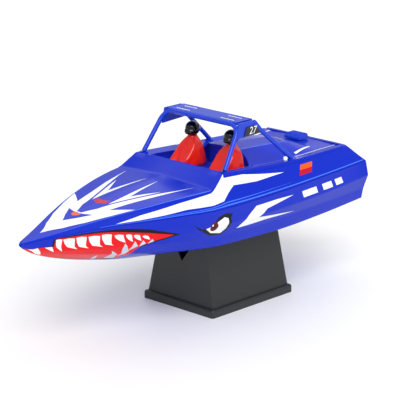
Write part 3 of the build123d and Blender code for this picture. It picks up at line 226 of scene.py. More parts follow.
def value_at(rows, x, column):
    """A table's column at a distance from the transom, on a curve that has no overshoot."""
    stops = [HULL_LENGTH * row[0] / 100 for row in rows]
    values = [row[column] for row in rows]
    x = min(max(x, stops[0]), stops[-1])
    index = max(i for i in range(len(stops) - 1) if stops[i] <= x)
    rises = [(values[i + 1] - values[i]) / (stops[i + 1] - stops[i]) for i in range(len(stops) - 1)]

    def slope(i):
        if i in (0, len(stops) - 1):
            return rises[min(i, len(rises) - 1)]
        before, after = rises[i - 1], rises[i]
        return 0 if before * after <= 0 else 2 * before * after / (before + after)

    span = stops[index + 1] - stops[index]
    t = (x - stops[index]) / span
    start = values[index] * (1 + 2 * t) * (1 - t) ** 2 + slope(index) * span * t * (1 - t) ** 2
    return start + values[index + 1] * t * t * (3 - 2 * t) + slope(index + 1) * span * t * t * (t - 1)


def pair(rows, x, column):
    """A half-breadth and a height from one of the tables, in millimetres."""
    return HALF_BEAM * value_at(rows, x, column) / 100, value_at(rows, x, column + 1)


def hull_section(x):
    """Keel, bilge, chine, beam and rail on the port side."""
    return [(0, value_at(OFFSETS, x, 1))] + [pair(OFFSETS, x, column) for column in (2, 4, 6, 8)]


def deck_section(x):
    """The deck's centre, its edge or the gunwale, and the rail."""
    if x >= RAMP_FOOT:
        edge, share = pair(DECK_EDGE, x, 1), 1
    elif x >= RIDGE:
        foot, ridge = pair(DECK_EDGE, RAMP_FOOT, 1), pair(GUNWALE, RIDGE, 1)
        share = (x - RIDGE) / (RAMP_FOOT - RIDGE)
        edge = (ridge[0] + (foot[0] - ridge[0]) * share, ridge[1] + (foot[1] - ridge[1]) * share)
    else:
        edge, share = pair(GUNWALE, x, 1), 0
    rail = hull_section(x)[-1]
    return [(0, edge[1] + CROWN * edge[0] * share), edge, rail]


def canopy_lip(x):
    """The gunwale, and the lower edge of the canopy's lip on the side panel."""
    gunwale, rail = pair(GUNWALE, x, 1), hull_section(x)[-1]
    return [gunwale, tuple(g + (r - g) * LIP for g, r in zip(gunwale, rail))]


def cowl_section(x):
    """The canopy aft of the cockpit: crown, crease, valley, gunwale and lip."""
    crown = (0, value_at(COWL, x, 5))
    return [crown, pair(COWL, x, 3), pair(COWL, x, 1)] + canopy_lip(x)


def coaming_section(x):
    """The canopy beside and ahead of the cockpit: centre, foot of the coaming, gunwale and lip."""
    (gy, gz), lip = canopy_lip(x)
    foot = gz - FLANGE_FALL * FLANGE_WIDTH
    return [(0, foot), (gy - FLANGE_WIDTH, foot), (gy, gz), lip]


def flange_section(x):
    """The deck's flange that the canopy rests on: inner edge and the top of the side panel."""
    gunwale, rail = pair(GUNWALE, x, 1), hull_section(x)[-1]
    y, z = (g + (r - g) * SIDE_TOP for g, r in zip(gunwale, rail))
    return [(y - FLANGE_WIDTH, z - FLANGE_FALL * FLANGE_WIDTH), (y, z)]


def along(corners, girth):
    """The point on a section's straight line through its corners."""
    index = min(int(girth), len(corners) - 2)
    t = girth - index
    return [a + (b - a) * t for a, b in zip(corners[index], corners[index + 1])]


def rounded(corners, girth):
    """The point on a section whose corners are rounded, and which is mirrored at the centre."""
    near = round(girth)
    if abs(girth - near) >= BEND or near == len(corners) - 1 or (near == 0 and corners[0][0] > 0):
        return along(corners, girth)
    t = (girth - near + BEND) / (2 * BEND)
    after = along(corners, near + BEND)
    before = along(corners, near - BEND) if near else (-after[0], after[1])
    stops = zip(before, corners[near], after)
    return [a * (1 - t) ** 2 + 2 * b * t * (1 - t) + c * t * t for a, b, c in stops]


def place(section, x, girth, lift=0.0):
    """A point of a shell in millimetres; the bow's last stretch closes on a round nose."""
    side = -1 if girth < 0 else 1
    y, z = rounded(section(x), abs(girth))
    z += lift
    start = HULL_LENGTH - NOSE_ROUND
    if x > start and section in (hull_section, deck_section):
        shut = math.sqrt(max(0.0, 1 - ((x - start) / NOSE_ROUND) ** 2))
        y, z = y * shut, NOSE_HEIGHT + (z - NOSE_HEIGHT) * shut
    return Vector((x, side * y, z))


def girth_at(section, x, y):
    """The girth at which a section is y from the centre, by halving; for parts that widen outward."""
    low, high = 0.0, float(len(section(x)) - 1)
    for _ in range(24):
        middle = (low + high) / 2
        if along(section(x), middle)[0] < y:
            low = middle
        else:
            high = middle
    return low


# ---------------------------------------------------------------- painted sheets

def within(point, outline):
    """Whether a point of the plane is inside an outline."""
    x, y = point
    inside = False
    for (x0, y0), (x1, y1) in zip(outline, outline[1:] + outline[:1]):
        if (y0 > y) != (y1 > y) and x < x0 + (x1 - x0) * (y - y0) / (y1 - y0):
            inside = not inside
    return inside


def divided(outline, step):
    """An outline with its long sides cut into steps."""
    points = []
    for a, b in zip(outline, outline[1:] + outline[:1]):
        count = max(1, math.ceil(math.dist(a, b) / step))
        points += [tuple(p + (q - p) * k / count for p, q in zip(a, b)) for k in range(count)]
    return points


class Sheet:
    """Gathers the faces of walled sheets, each with its paint and its own shading normals."""

    def __init__(self, name, paints):
        self.name = name
        self.paints = paints
        self.points = []
        self.faces = []
        self.index = {}

    def vertex(self, point, normal):
        key = tuple(round(value, 5) for value in point) + (round(normal.x + normal.z, 1),)
        if key not in self.index:
            self.index[key] = len(self.points)
            self.points.append(point.copy())
        return self.index[key]

    def add(self, section, outline, girths, patches=(), base="blue", thick=WALL, lift=0.0, centre=20.0):
        """One sheet on both sides of the boat, from its outline in distance and girth."""
        plane, edges = [], []

        def ring(points):
            points = divided([(x, g * SPREAD) for x, g in points], EDGE_STEP)
            first = len(plane)
            plane.extend(Vector(p) for p in points)
            edges.extend((first + k, first + (k + 1) % len(points)) for k in range(len(points)))

        ring(outline)
        for _, points in patches:
            ring(points)
        low, high = min(x for x, _ in outline), max(x for x, _ in outline)
        count = math.ceil((high - low) / ROW_STEP)
        stops = [low + (high - low) * k / count for k in range(count + 1)]
        if high > HULL_LENGTH - NOSE_ROUND:
            turns = [math.sin(math.radians(angle)) for angle in (15, 30, 45, 58, 68)]
            stops += [HULL_LENGTH - NOSE_ROUND + NOSE_ROUND * turn for turn in turns]
            stops = sorted(stops)
        for g in girths:
            last = None
            for x in stops:
                if within((x, g), outline):
                    plane.append(Vector((x, g * SPREAD)))
                    if last is not None:
                        edges.append((last, len(plane) - 1))
                    last = len(plane) - 1
                else:
                    last = None
        flat, _, triangles, _, _, _ = geometry.delaunay_2d_cdt(plane, edges, [], 0, 1e-4)
        boxes = []
        for paint, points in patches:
            xs, gs = [p[0] for p in points], [p[1] for p in points]
            boxes.append((paint, points, min(xs), max(xs), min(gs), max(gs)))
        outer, normals = [], []
        for x, g in ((p.x, p.y / SPREAD) for p in flat):
            outer.append(place(section, x, g, lift))
            ahead = place(section, min(x + 0.05, HULL_LENGTH), g, lift)
            behind = place(section, x - 0.05, g, lift)
            top = len(section(x)) - 1
            more = place(section, x, min(g + 0.01, top), lift)
            less = place(section, x, g - 0.01, lift)
            normal = (ahead - behind).cross(more - less)
            normals.append(normal.normalized() if normal.length > 1e-9 else Vector((1, 0, 0)))
        probe = len(outer) // 2
        if normals[probe].dot(outer[probe] - Vector((outer[probe].x, 0, centre))) < 0:
            normals = [-n for n in normals]
        if high > HULL_LENGTH - 1:
            nose = Vector((1, 0, 0))
            normals = [nose if p.x > NOSE_END - 0.01 else n for p, n in zip(outer, normals)]
        start = len(self.faces)
        for side in (1, -1):
            for triangle in triangles:
                middle = sum((flat[k] for k in triangle), Vector((0, 0))) / 3
                middle = (middle.x, middle.y / SPREAD)
                if not within(middle, outline):
                    continue
                paint = base
                for name, points, x0, x1, g0, g1 in boxes:
                    if x0 <= middle[0] <= x1 and g0 <= middle[1] <= g1 and within(middle, points):
                        paint = name
                self.face(triangle, outer, normals, side, thick, paint)
        self.rim(start)

    def face(self, triangle, outer, normals, side, thick, paint):
        """A triangle of the outer skin and the one behind it."""
        front, back, turned = [], [], []
        for k in triangle:
            point, normal = outer[k].copy(), normals[k].copy()
            point.y *= side
            normal.y *= side
            if abs(point.y) < 1e-6:
                normal.y = 0
            depth = min(thick, 0.02 + 0.12 * (HULL_LENGTH - point.x))
            front.append(self.vertex(point, normal))
            back.append(self.vertex(point - normal * depth, -normal))
            turned.append(normal)
        if len(set(front)) < 3 or len(set(back)) < 3:
            return
        a, b, c = (self.points[k] for k in front)
        if (b - a).cross(c - a).dot(turned[0] + turned[1] + turned[2]) < 0:
            front, back, turned = front[::-1], back[::-1], turned[::-1]
        self.faces.append((front, turned, paint))
        self.faces.append((back[::-1], [-n for n in turned[::-1]], "inside"))

    def rim(self, start):
        """Walls from the outer skin's open edges to the inner skin's."""
        edges = {}
        pairs = {}
        for k in range(start, len(self.faces), 2):
            front, _, paint = self.faces[k]
            back = self.faces[k + 1][0][::-1]
            for i in range(3):
                a, b = front[i], front[(i + 1) % 3]
                edges[(a, b)] = paint
                pairs[(a, b)] = (back[i], back[(i + 1) % 3])
        for (a, b), paint in edges.items():
            if (b, a) in edges:
                continue
            c, d = pairs[(a, b)]
            corners = [b, a, c, d]
            normal = (self.points[a] - self.points[b]).cross(self.points[c] - self.points[b])
            if normal.length < 1e-9:
                normal = Vector((0, 0, 1))
            self.faces.append((corners, [normal.normalized()] * 4, paint))

    def build(self, body, node, slot):
        """The finished object, in metres in the boat's own place."""
        mesh = bpy.data.meshes.new(self.name)
        shift = Vector((TRANSOM, 0, KEEL))
        mesh.from_pydata([p * MM + shift for p in self.points], [], [f[0] for f in self.faces])
        names = list(self.paints)
        for name in names:
            mesh.materials.append(self.paints[name])
        for polygon, (_, _, paint) in zip(mesh.polygons, self.faces):
            polygon.material_index = names.index(paint)
            polygon.use_smooth = True
        mesh.normals_split_custom_set([tuple(n) for face in self.faces for n in face[1]])
        return finished(mesh, self.name, body, node)


def finished(mesh, name, body, node=None):
    """Link a mesh as a piece that rides on a body and stands for a node."""
    piece = bpy.data.objects.new(name, mesh)
    bpy.context.scene.collection.objects.link(piece)
    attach(piece, body)
    if node:
        for each in ([node] if isinstance(node, str) else node):
            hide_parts(each)
    return piece


def crease_girths(panels):
    """Where a sheet's rows lie: close together at the creases, further apart on the panels."""
    rows = set()
    for k in range(panels):
        rows |= {k, k + BEND / 2, k + BEND, k + 1 - BEND, k + 1 - BEND / 2, k + 1}
        rows |= {k + 0.3, k + 0.5, k + 0.7}
    return sorted(g for g in rows if 0 < g < panels)


# ---------------------------------------------------------------- finishes

def finish_of(name, colour, rough=0.3, grain=600.0, bump=0.05, metal=0.0, coat=0.0, vary=0.08, sheen=0.0,
              weave=0.0, streak=(1.0, 1.0, 1.0), glint=0.5):
    """A finish whose roughness, tone and surface vary at the scale of its material."""
    material = bpy.data.materials.new(name)
    material.use_nodes = True
    nodes, links = material.node_tree.nodes, material.node_tree.links
    shader = nodes["Principled BSDF"]
    for socket, value in (("Metallic", metal), ("Coat Weight", coat), ("Coat Roughness", 0.06),
                          ("Sheen Weight", sheen), ("Specular IOR Level", glint)):
        shader.inputs[socket].default_value = value
    where = nodes.new("ShaderNodeTexCoord")
    turn = nodes.new("ShaderNodeMapping")
    turn.inputs["Scale"].default_value = streak
    links.new(where.outputs["Object"], turn.inputs["Vector"])
    fine = nodes.new("ShaderNodeTexNoise")
    fine.inputs["Scale"].default_value = grain
    fine.inputs["Detail"].default_value = 3.0
    broad = nodes.new("ShaderNodeTexNoise")
    broad.inputs["Scale"].default_value = grain * 0.06
    broad.inputs["Detail"].default_value = 4.0
    for texture in (fine, broad):
        links.new(turn.outputs["Vector"], texture.inputs["Vector"])
    tone = nodes.new("ShaderNodeMix")
    tone.data_type = "RGBA"
    tone.inputs["A"].default_value = tuple(c * (1 - vary) for c in colour[:3]) + (1.0,)
    tone.inputs["B"].default_value = tuple(min(1.0, c * (1 + vary)) for c in colour[:3]) + (1.0,)
    links.new(broad.outputs["Fac"], tone.inputs["Factor"])
    links.new(tone.outputs["Result"], shader.inputs["Base Color"])
    matt = nodes.new("ShaderNodeMapRange")
    matt.inputs["To Min"].default_value = max(0.02, rough - 0.06)
    matt.inputs["To Max"].default_value = min(1.0, rough + 0.08)
    links.new(broad.outputs["Fac"], matt.inputs["Value"])
    links.new(matt.outputs["Result"], shader.inputs["Roughness"])
    relief = nodes.new("ShaderNodeBump")
    relief.inputs["Strength"].default_value = bump
    relief.inputs["Distance"].default_value = 0.0003
    height = fine.outputs["Fac"]
    if weave:
        waves = []
        for axis in ("X", "Y"):
            wave = nodes.new("ShaderNodeTexWave")
            wave.bands_direction = axis
            wave.inputs["Scale"].default_value = weave
            wave.inputs["Distortion"].default_value = 0.4
            links.new(turn.outputs["Vector"], wave.inputs["Vector"])
            waves.append(wave)
        product = nodes.new("ShaderNodeMath")
        product.operation = "MULTIPLY"
        links.new(waves[0].outputs["Fac"], product.inputs[0])
        links.new(waves[1].outputs["Fac"], product.inputs[1])
        height = product.outputs["Value"]
    links.new(height, relief.inputs["Height"])
    links.new(relief.outputs["Normal"], shader.inputs["Normal"])
    return material


def paint_finishes(settings):
    """The shells' paints: one gloss, many colours."""
    colours = {
        "blue": tuple(settings.hull_blue) + (1.0,),
        "inside": rgb(24, 40, 120),
        "white": rgb(246, 247, 250),
        "red": rgb(232, 16, 22),
        "black": rgb(10, 11, 16),
        "orange": rgb(246, 96, 30),
        "cherry": rgb(196, 16, 44),
        "ivory": rgb(205, 212, 224),
        # painted highlight: a light blue laid in thin bands along the rail and the creases, standing in for
        # light glancing off the gloss
        "sky": rgb(70, 122, 255),
        "iris": rgb(104, 14, 16),
    }
    return {
        name: finish_of("Paint " + name, colour, rough=0.2, grain=900.0, bump=0.03, vary=0.03, glint=0.2)
        for name, colour in colours.items()
    }


# ---------------------------------------------------------------- shells

def tooth(front, wide, top, tip):
    """An upper tooth as an outline in distance and girth, with a bowed rear edge."""
    return [
        (front, top), (front - 0.45 * wide, top + 0.02), (front - wide, top - 0.04),
        (front - 1.12 * wide, top - 0.35 * (top - tip)), (front - 1.5 * wide, tip),
        (front - 0.62 * wide, tip + 0.42 * (top - tip)), (front - 0.2 * wide, tip + 0.72 * (top - tip)),
    ]


def circle(x, girth, radius, tall):
    """A round patch; tall is its half-height in girth."""
    turns = [2 * math.pi * k / 14 for k in range(14)]
    return [(x + radius * math.cos(t), girth + tall * math.sin(t)) for t in turns]


def hull_skin(paints):
    """The hull's skin with its jaw, eye and flash."""
    sheet = Sheet("hull_skin", paints)
    outline = [(0, 0), (23.5, 0), (23.5, 0.27), (54.1, 0.27), (54.1, 0), (NOSE_END, 0),
               (NOSE_END, 4), (0, 4)]
    patches = [("black", MOUTH_EDGE), ("red", MOUTH)]
    patches += [("white", points) for points in FRONT_TEETH]
    patches += [("white", tooth(*row)) for row in UPPER_TEETH]
    patches += [("ivory", points) for points in LOWER_TEETH]
    # The eye: black brow, white, dark red iris and black pupil; the small white dot beside the pupil is a
    # painted glint.
    patches += [("black", BROW), ("white", EYE_WHITE), ("iris", circle(124.9, 2.98, 2.7, 0.34)),
                ("black", circle(125.3, 3.0, 1.2, 0.16)), ("white", circle(126.0, 3.12, 0.5, 0.07))]
    patches += [("white", LIGHTNING)]
    for low, wide in STERN_BLOCKS:
        slant = [(low, 3.2), (low + wide, 3.2), (low + wide + 1.5, 3.6), (low + 1.5, 3.6)]
        patches.append(("white", slant))
    sheet.add(hull_section, outline, crease_girths(4), patches, centre=32.0)
    return sheet


def deck_skin(paints):
    """The deck's skin: transom strip, side panels, ramp and foredeck, with its flashes."""
    sheet = Sheet("deck_skin", paints)
    top = 1 + SIDE_TOP
    outline = [(TRANSOM_RAKE, 0), (REAR_CAP, 0), (REAR_CAP, top), (RIDGE, top), (RIDGE, 0), (NOSE_END, 0),
               (NOSE_END, 2), (0, 2), (TRANSOM_RAKE, 1)]
    patches = [
        # Painted highlights: two light blue bands along the rail, and a thin line along the foredeck's edge
        # crease.
        ("sky", [(2, 1.9), (150, 1.9), (190, 1.86), (190, 1.9), (150, 1.94), (2, 1.94)]),
        ("sky", [(60, 1.8), (110, 1.82), (150, 1.83), (172, 1.82), (150, 1.86), (110, 1.85)]),
        ("sky", [(RAMP_FOOT, 0.985), (HULL_LENGTH - 4, 0.985), (HULL_LENGTH - 4, 1.02), (RAMP_FOOT, 1.01)]),
        ("white", BOW_FLASH), ("blue", BOW_CHEVRON), ("white", BOW_SPIKE),
        ("orange", ORANGE_BLOCK), ("cherry", RED_BLOCK),
        ("white", SIDE_FLASH), ("orange", SIDE_BLOCK_UPPER), ("cherry", SIDE_BLOCK_LOWER),
    ]
    sheet.add(deck_section, outline, crease_girths(2), patches, lift=0.2)
    flange = [(REAR_CAP, 0), (RIDGE - 0.4, 0), (RIDGE - 0.4, 1), (REAR_CAP, 1)]
    sheet.add(flange_section, flange, [0.5], base="inside", lift=0.1)
    return sheet


def canopy_skin(paints):
    """The canopy's skin: cowl, coaming and turned-down lip, open over the cockpit well."""
    sheet = Sheet("canopy_skin", paints)
    rear, front = REAR_CAP + 0.35, RIDGE - 0.35
    slot = girth_at(cowl_section, 20, 1.8)
    x, y, radius = SEAT
    arc = []
    reach = math.sqrt(radius ** 2 - (x - WELL_REAR) ** 2)
    turn = math.atan2(reach, x - WELL_REAR)
    for k in range(13):
        angle = turn - 2 * turn * k / 12
        px, py = x - radius * math.cos(angle), y + radius * math.sin(angle)
        arc.append((min(px, WELL_REAR), girth_at(cowl_section, min(px, WELL_REAR), py)))
    outline = [(rear, 0), (18.2, 0), (18.2, slot), (24.0, slot), (24.0, 0), (WELL_REAR, 0)]
    outline += arc[::-1] + [(WELL_REAR, 4), (rear, 4)]
    # Painted highlight: a thin light blue line along the cowl's crease.
    patches = [("sky", [(40, 0.99), (83.9, 0.98), (83.9, 1.03), (40, 1.0)])]
    for points in CANOPY_LINES:
        patches.append(("white", [(px, girth_at(cowl_section, px, py)) for px, py in points]))
    sheet.add(cowl_section, outline, crease_girths(4), patches)
    edge = girth_at(coaming_section, WELL_REAR, WELL_HALF)
    corner = []
    for k in range(7):
        angle = math.radians(15 * k)
        px = WELL_FRONT - 3 + 3 * math.cos(angle)
        corner.append((px, girth_at(coaming_section, px, WELL_HALF - 3 + 3 * math.sin(angle))))
    start = WELL_REAR + 0.01
    outline = [(WELL_FRONT, 0), (front, 0), (front, 3), (start, 3), (start, edge)]
    outline += corner[::-1]
    sheet.add(coaming_section, outline, crease_girths(3), [])
    return sheet


def well_outline():
    """The cockpit well in plan: a rounded oblong with a bay behind each driver."""
    x, y, radius = SEAT
    reach = math.sqrt(radius ** 2 - (x - WELL_REAR) ** 2)
    turn = math.atan2(reach, x - WELL_REAR)
    port = [(WELL_REAR, 0.0), (WELL_REAR, (y - reach) / 2)]
    for k in range(17):
        angle = turn - 2 * turn * k / 16
        port.append((x - radius * math.cos(angle), y - radius * math.sin(angle)))
    for cx, cy, first in ((WELL_REAR + 3, WELL_HALF - 3, 180), (WELL_FRONT - 3, WELL_HALF - 3, 90)):
        for k in range(7):
            angle = math.radians(first - 15 * k)
            port.append((cx + 3 * math.cos(angle), cy + 3 * math.sin(angle)))
    return port + [(px, -py) for px, py in port[::-1] if py > 0]


def well_height(x, y):
    """The canopy's height over a point of the well's edge."""
    section = cowl_section if x <= WELL_REAR + 0.01 else coaming_section
    return along(section(x), girth_at(section, x, abs(y)))[1]


def cockpit_well(paints):
    """The moulded well as one closed tub: rolled lip, wall, rounded foot and floor."""
    ring = divided(well_outline(), 1.6)
    count = len(ring)
    out = []
    for k in range(count):
        (ax, ay), (bx, by) = ring[k - 1], ring[(k + 1) % count]
        length = math.hypot(bx - ax, by - ay)
        out.append(((by - ay) / length, -(bx - ax) / length))
    if sum(o[0] * (p[0] - 97) + o[1] * p[1] for o, p in zip(out, ring)) < 0:
        out = [(-ox, -oy) for ox, oy in out]
    rows = []

    def row(outward, height):
        points = []
        for (x, y), (ox, oy) in zip(ring, out):
            points.append(Vector((x + ox * outward, y + oy * outward, height(x, y))))
        rows.append(points)

    low = WELL_FLOOR - 1.0
    row(0.9, lambda x, y: low + 0.6)
    row(0.9, lambda x, y: well_height(x, y) - 0.6)
    for angle in (180, 140, 100, 60, 20, -10):
        turn = math.radians(angle)
        rise = 0.35 * math.sin(turn)
        row(0.35 + 0.5 * math.cos(turn), lambda x, y, rise=rise: well_height(x, y) + rise)
    row(0.0, lambda x, y: (well_height(x, y) + WELL_FLOOR) / 2)
    for angle in (0, 30, 60, 90):
        turn = math.radians(angle)
        row(-1.2 * (1 - math.cos(turn)), lambda x, y, t=turn: WELL_FLOOR + 1.2 * (1 - math.sin(t)))
    shell = bmesh.new()
    rings = [[shell.verts.new(p) for p in points] for points in rows]
    lofted(shell, rings)
    return solid(shell, "cockpit_well", [paints["blue"]])


def lofted(shell, rings, pole=False):
    """Join rings of corners with faces and cap both ends; at a pole the last ring closes to a point."""
    count = len(rings[0])
    for a, b in zip(rings, rings[1:]):
        for k in range(count):
            n = (k + 1) % count
            shell.faces.new((a[k], a[n], b[n], b[k]))
    shell.faces.new(rings[0][::-1])
    if pole:
        bmesh.ops.remove_doubles(shell, verts=rings[-1], dist=0.02)
    else:
        shell.faces.new(rings[-1])
    bmesh.ops.triangulate(shell, faces=[f for f in shell.faces if len(f.verts) > 4])


def solid(shell, name, finishes, smooth=True):
    """A mesh in metres in the boat's place from a closed shape in millimetres; angles stay crisp."""
    bmesh.ops.recalc_face_normals(shell, faces=shell.faces)
    shift = Vector((TRANSOM, 0, KEEL))
    for vert in shell.verts:
        vert.co = vert.co * MM + shift
    mesh = bpy.data.meshes.new(name)
    shell.to_mesh(mesh)
    shell.free()
    for each in finishes:
        mesh.materials.append(each)
    if smooth:
        mesh.shade_smooth()
        mesh.set_sharp_from_angle(angle=math.radians(38))
    return mesh


def plate(outline, holes, thick, put):
    """A flat plate from its outline and round holes; put turns (across, up, depth) into a place."""
    plane, edges, rings = [], [], []
    for points in [outline] + holes:
        first = len(plane)
        plane += [Vector(p) for p in points]
        rings.append(list(range(first, len(plane))))
        edges += [(first + k, first + (k + 1) % len(points)) for k in range(len(points))]
    flat, _, triangles, _, _, _ = geometry.delaunay_2d_cdt(plane, edges, [], 0, 1e-5)
    shell = bmesh.new()
    front = [shell.verts.new(put(p.x, p.y, 0)) for p in flat]
    back = [shell.verts.new(put(p.x, p.y, thick)) for p in flat]
    used = {}
    for triangle in triangles:
        middle = sum((flat[k] for k in triangle), Vector((0, 0))) / 3
        if not within(tuple(middle), outline) or any(within(tuple(middle), hole) for hole in holes):
            continue
        shell.faces.new([front[k] for k in triangle])
        shell.faces.new([back[k] for k in triangle[::-1]])
        for i in range(3):
            used[(triangle[i], triangle[(i + 1) % 3])] = True
    for a, b in used:
        if (b, a) not in used:
            shell.faces.new((front[b], front[a], back[a], back[b]))
    bmesh.ops.delete(shell, geom=[v for v in shell.verts if not v.link_faces], context="VERTS")
    return shell


def ring_of(y, z, radius, count=28):
    """A round hole's outline."""
    turns = [2 * math.pi * k / count for k in range(count)]
    return [(y + radius * math.cos(t), z + radius * math.sin(t)) for t in turns]


def transom_plates(paints):
    """The hull's transom with its holes, and the raked plate above it."""
    half = [along(hull_section(0), k / 2) for k in range(9)]
    half = [(y * 0.975, 0.3 + z * 0.985) for y, z in half]
    outline = half + [(-y, z) for y, z in half[:0:-1]]
    holes = [ring_of(0, 17, 9.02, 48), ring_of(-8, 30.5, 1.92), ring_of(22, 16.5, 2.05)]
    for y in (-SCREW_Y, SCREW_Y):
        for z in SCREW_HEIGHTS:
            holes.append(ring_of(y, z, 0.85, 14))
    lower = plate(outline, holes, 1.2, lambda y, z, depth: Vector((0.02 + depth, y, z)))
    raked = [(-34.6, 34.6), (34.6, 34.6), (28.3, 44.8), (-28.3, 44.8)]
    slope = TRANSOM_RAKE / 10.2
    upper = plate(raked, [], 1.2, lambda y, z, depth: Vector((0.04 + (z - 34.6) * slope + depth, y, z)))
    return (
        solid(lower, "transom_plate", [paints["blue"]], smooth=False),
        solid(upper, "raked_transom", [paints["blue"]], smooth=False),
    )


def turned(profile, count):
    """A shape turned about x from rows of (x, radius, sides), closed on the axis at both ends."""
    shell = bmesh.new()
    rings = []
    for x, radius, sides in profile:
        ring = []
        for k in range(count if radius else 1):
            turn = 2 * math.pi * k / count
            flat = math.pi / sides if sides else 0
            reach = radius * (math.cos(flat) / math.cos((turn % (2 * flat)) - flat) if sides else 1)
            ring.append(shell.verts.new((x, reach * math.cos(turn), reach * math.sin(turn))))
        rings.append(ring)
    for a, b in zip(rings, rings[1:]):
        for k in range(count):
            n = (k + 1) % count
            corners = [a[k % len(a)], a[n % len(a)], b[n % len(b)], b[k % len(b)]]
            shell.faces.new(list(dict.fromkeys(corners)))
    bmesh.ops.recalc_face_normals(shell, faces=shell.faces)
    return shell


def repeated(name, shell, places, finish):
    """Copies of one small shape at several places, laid out with geometry nodes and made plain mesh."""
    single = bpy.data.meshes.new(name + "_single")
    for vert in shell.verts:
        vert.co *= MM
    shell.to_mesh(single)
    shell.free()
    single.shade_smooth()
    single.set_sharp_from_angle(angle=math.radians(35))
    template = bpy.data.objects.new(name + "_single", single)
    dots = bpy.data.meshes.new(name + "_places")
    dots.from_pydata([tuple(p) for p in places], [], [])
    holder = bpy.data.objects.new(name + "_places", dots)
    bpy.context.scene.collection.objects.link(template)
    bpy.context.scene.collection.objects.link(holder)
    tree = bpy.data.node_groups.new(name, "GeometryNodeTree")
    sockets = {}
    inputs = {"Geometry": "Geometry", "Shape": "Object", "Size": "Float", "Finish": "Material"}
    for label, kind in inputs.items():
        made = tree.interface.new_socket(name=label, in_out="INPUT", socket_type="NodeSocket" + kind)
        sockets[label] = made.identifier
    tree.interface.new_socket(name="Geometry", in_out="OUTPUT", socket_type="NodeSocketGeometry")
    start, end = tree.nodes.new("NodeGroupInput"), tree.nodes.new("NodeGroupOutput")
    shape = tree.nodes.new("GeometryNodeObjectInfo")
    copies = tree.nodes.new("GeometryNodeInstanceOnPoints")
    plain = tree.nodes.new("GeometryNodeRealizeInstances")
    coat = tree.nodes.new("GeometryNodeSetMaterial")
    for source, target in (
        (start.outputs["Shape"], shape.inputs["Object"]),
        (start.outputs["Geometry"], copies.inputs["Points"]),
        (shape.outputs["Geometry"], copies.inputs["Instance"]),
        (start.outputs["Size"], copies.inputs["Scale"]),
        (copies.outputs["Instances"], plain.inputs["Geometry"]),
        (plain.outputs["Geometry"], coat.inputs["Geometry"]),
        (start.outputs["Finish"], coat.inputs["Material"]),
        (coat.outputs["Geometry"], end.inputs["Geometry"]),
    ):
        tree.links.new(source, target)
    modifier = holder.modifiers.new(name, "NODES")
    modifier.node_group = tree
    modifier[sockets["Shape"]] = template
    modifier[sockets["Size"]] = 1.0
    modifier[sockets["Finish"]] = finish
    bpy.context.view_layer.update()
    mesh = bpy.data.meshes.new_from_object(holder.evaluated_get(bpy.context.evaluated_depsgraph_get()))
    mesh.name = name
    bpy.data.objects.remove(holder)
    bpy.data.objects.remove(template)
    return mesh


def screw_head(radius, height):
    """A button head that points aft, with a hexagonal socket and its shank below."""
    return turned([
        (height, 0, 0), (height, radius * 0.55, 0), (0, radius * 0.55, 0), (0, radius, 0),
        (-0.45 * height, radius * 0.97, 0), (-0.8 * height, radius * 0.8, 0), (-height, radius * 0.58, 0),
        (-height, radius * 0.42, 6), (-0.35 * height, radius * 0.42, 6), (-0.35 * height, 0, 0),
    ], 36)


# ---------------------------------------------------------------- drivers

def driver_body(side, suit):
    """A driver's moulded suit: neck, sloping shoulders, and sleeves that run down to the lap."""
    x0, y0 = DRIVER_X, side * DRIVER_Y
    # height share, half-width, reach ahead of the neck and behind it, and the sleeves' relief
    levels = [
        (0.0, 7.4, 10.2, 4.6, 0.2), (0.04, 7.9, 11.0, 5.0, 0.5), (0.12, 8.1, 11.2, 5.1, 0.9),
        (0.22, 7.9, 10.6, 5.0, 1.1), (0.34, 7.6, 9.2, 4.8, 1.0), (0.47, 7.2, 7.6, 4.6, 0.9),
        (0.6, 6.7, 6.2, 4.3, 0.8), (0.72, 6.0, 5.0, 3.9, 0.6), (0.82, 5.0, 4.1, 3.4, 0.3),
        (0.9, 3.8, 3.3, 2.9, 0.1), (0.96, 2.8, 2.6, 2.5, 0.0), (1.0, 2.5, 2.4, 2.3, 0.0),
    ]
    bottom, top = WELL_FLOOR + 0.12, 57.4
    shell = bmesh.new()
    rings = []
    count = 96
    for height, wide, ahead, behind, relief in levels:
        ring = []
        for k in range(count):
            turn = 2 * math.pi * k / count
            c, s = math.cos(turn), math.sin(turn)
            full = (abs(c) ** 2.6 + abs(s) ** 2.6) ** (-1 / 2.6)
            bent = math.remainder(turn, 2 * math.pi)
            sleeve = sum(math.exp(-((bent - hand * (0.42 + 0.5 * height)) / 0.2) ** 2) for hand in (-1, 1))
            crease = 0.22 * (1 - height) * math.sin(9 * turn + 9 * height + side)
            radius = full + (1.9 * relief * sleeve + 1.6 * crease) / 8
            reach = ahead if c > 0 else behind
            ring.append(shell.verts.new((
                x0 + reach * c * radius,
                y0 + wide * s * radius,
                bottom + height * (top - bottom),
            )))
        rings.append(ring)
    lofted(shell, rings)
    return solid(shell, "suit", [suit])


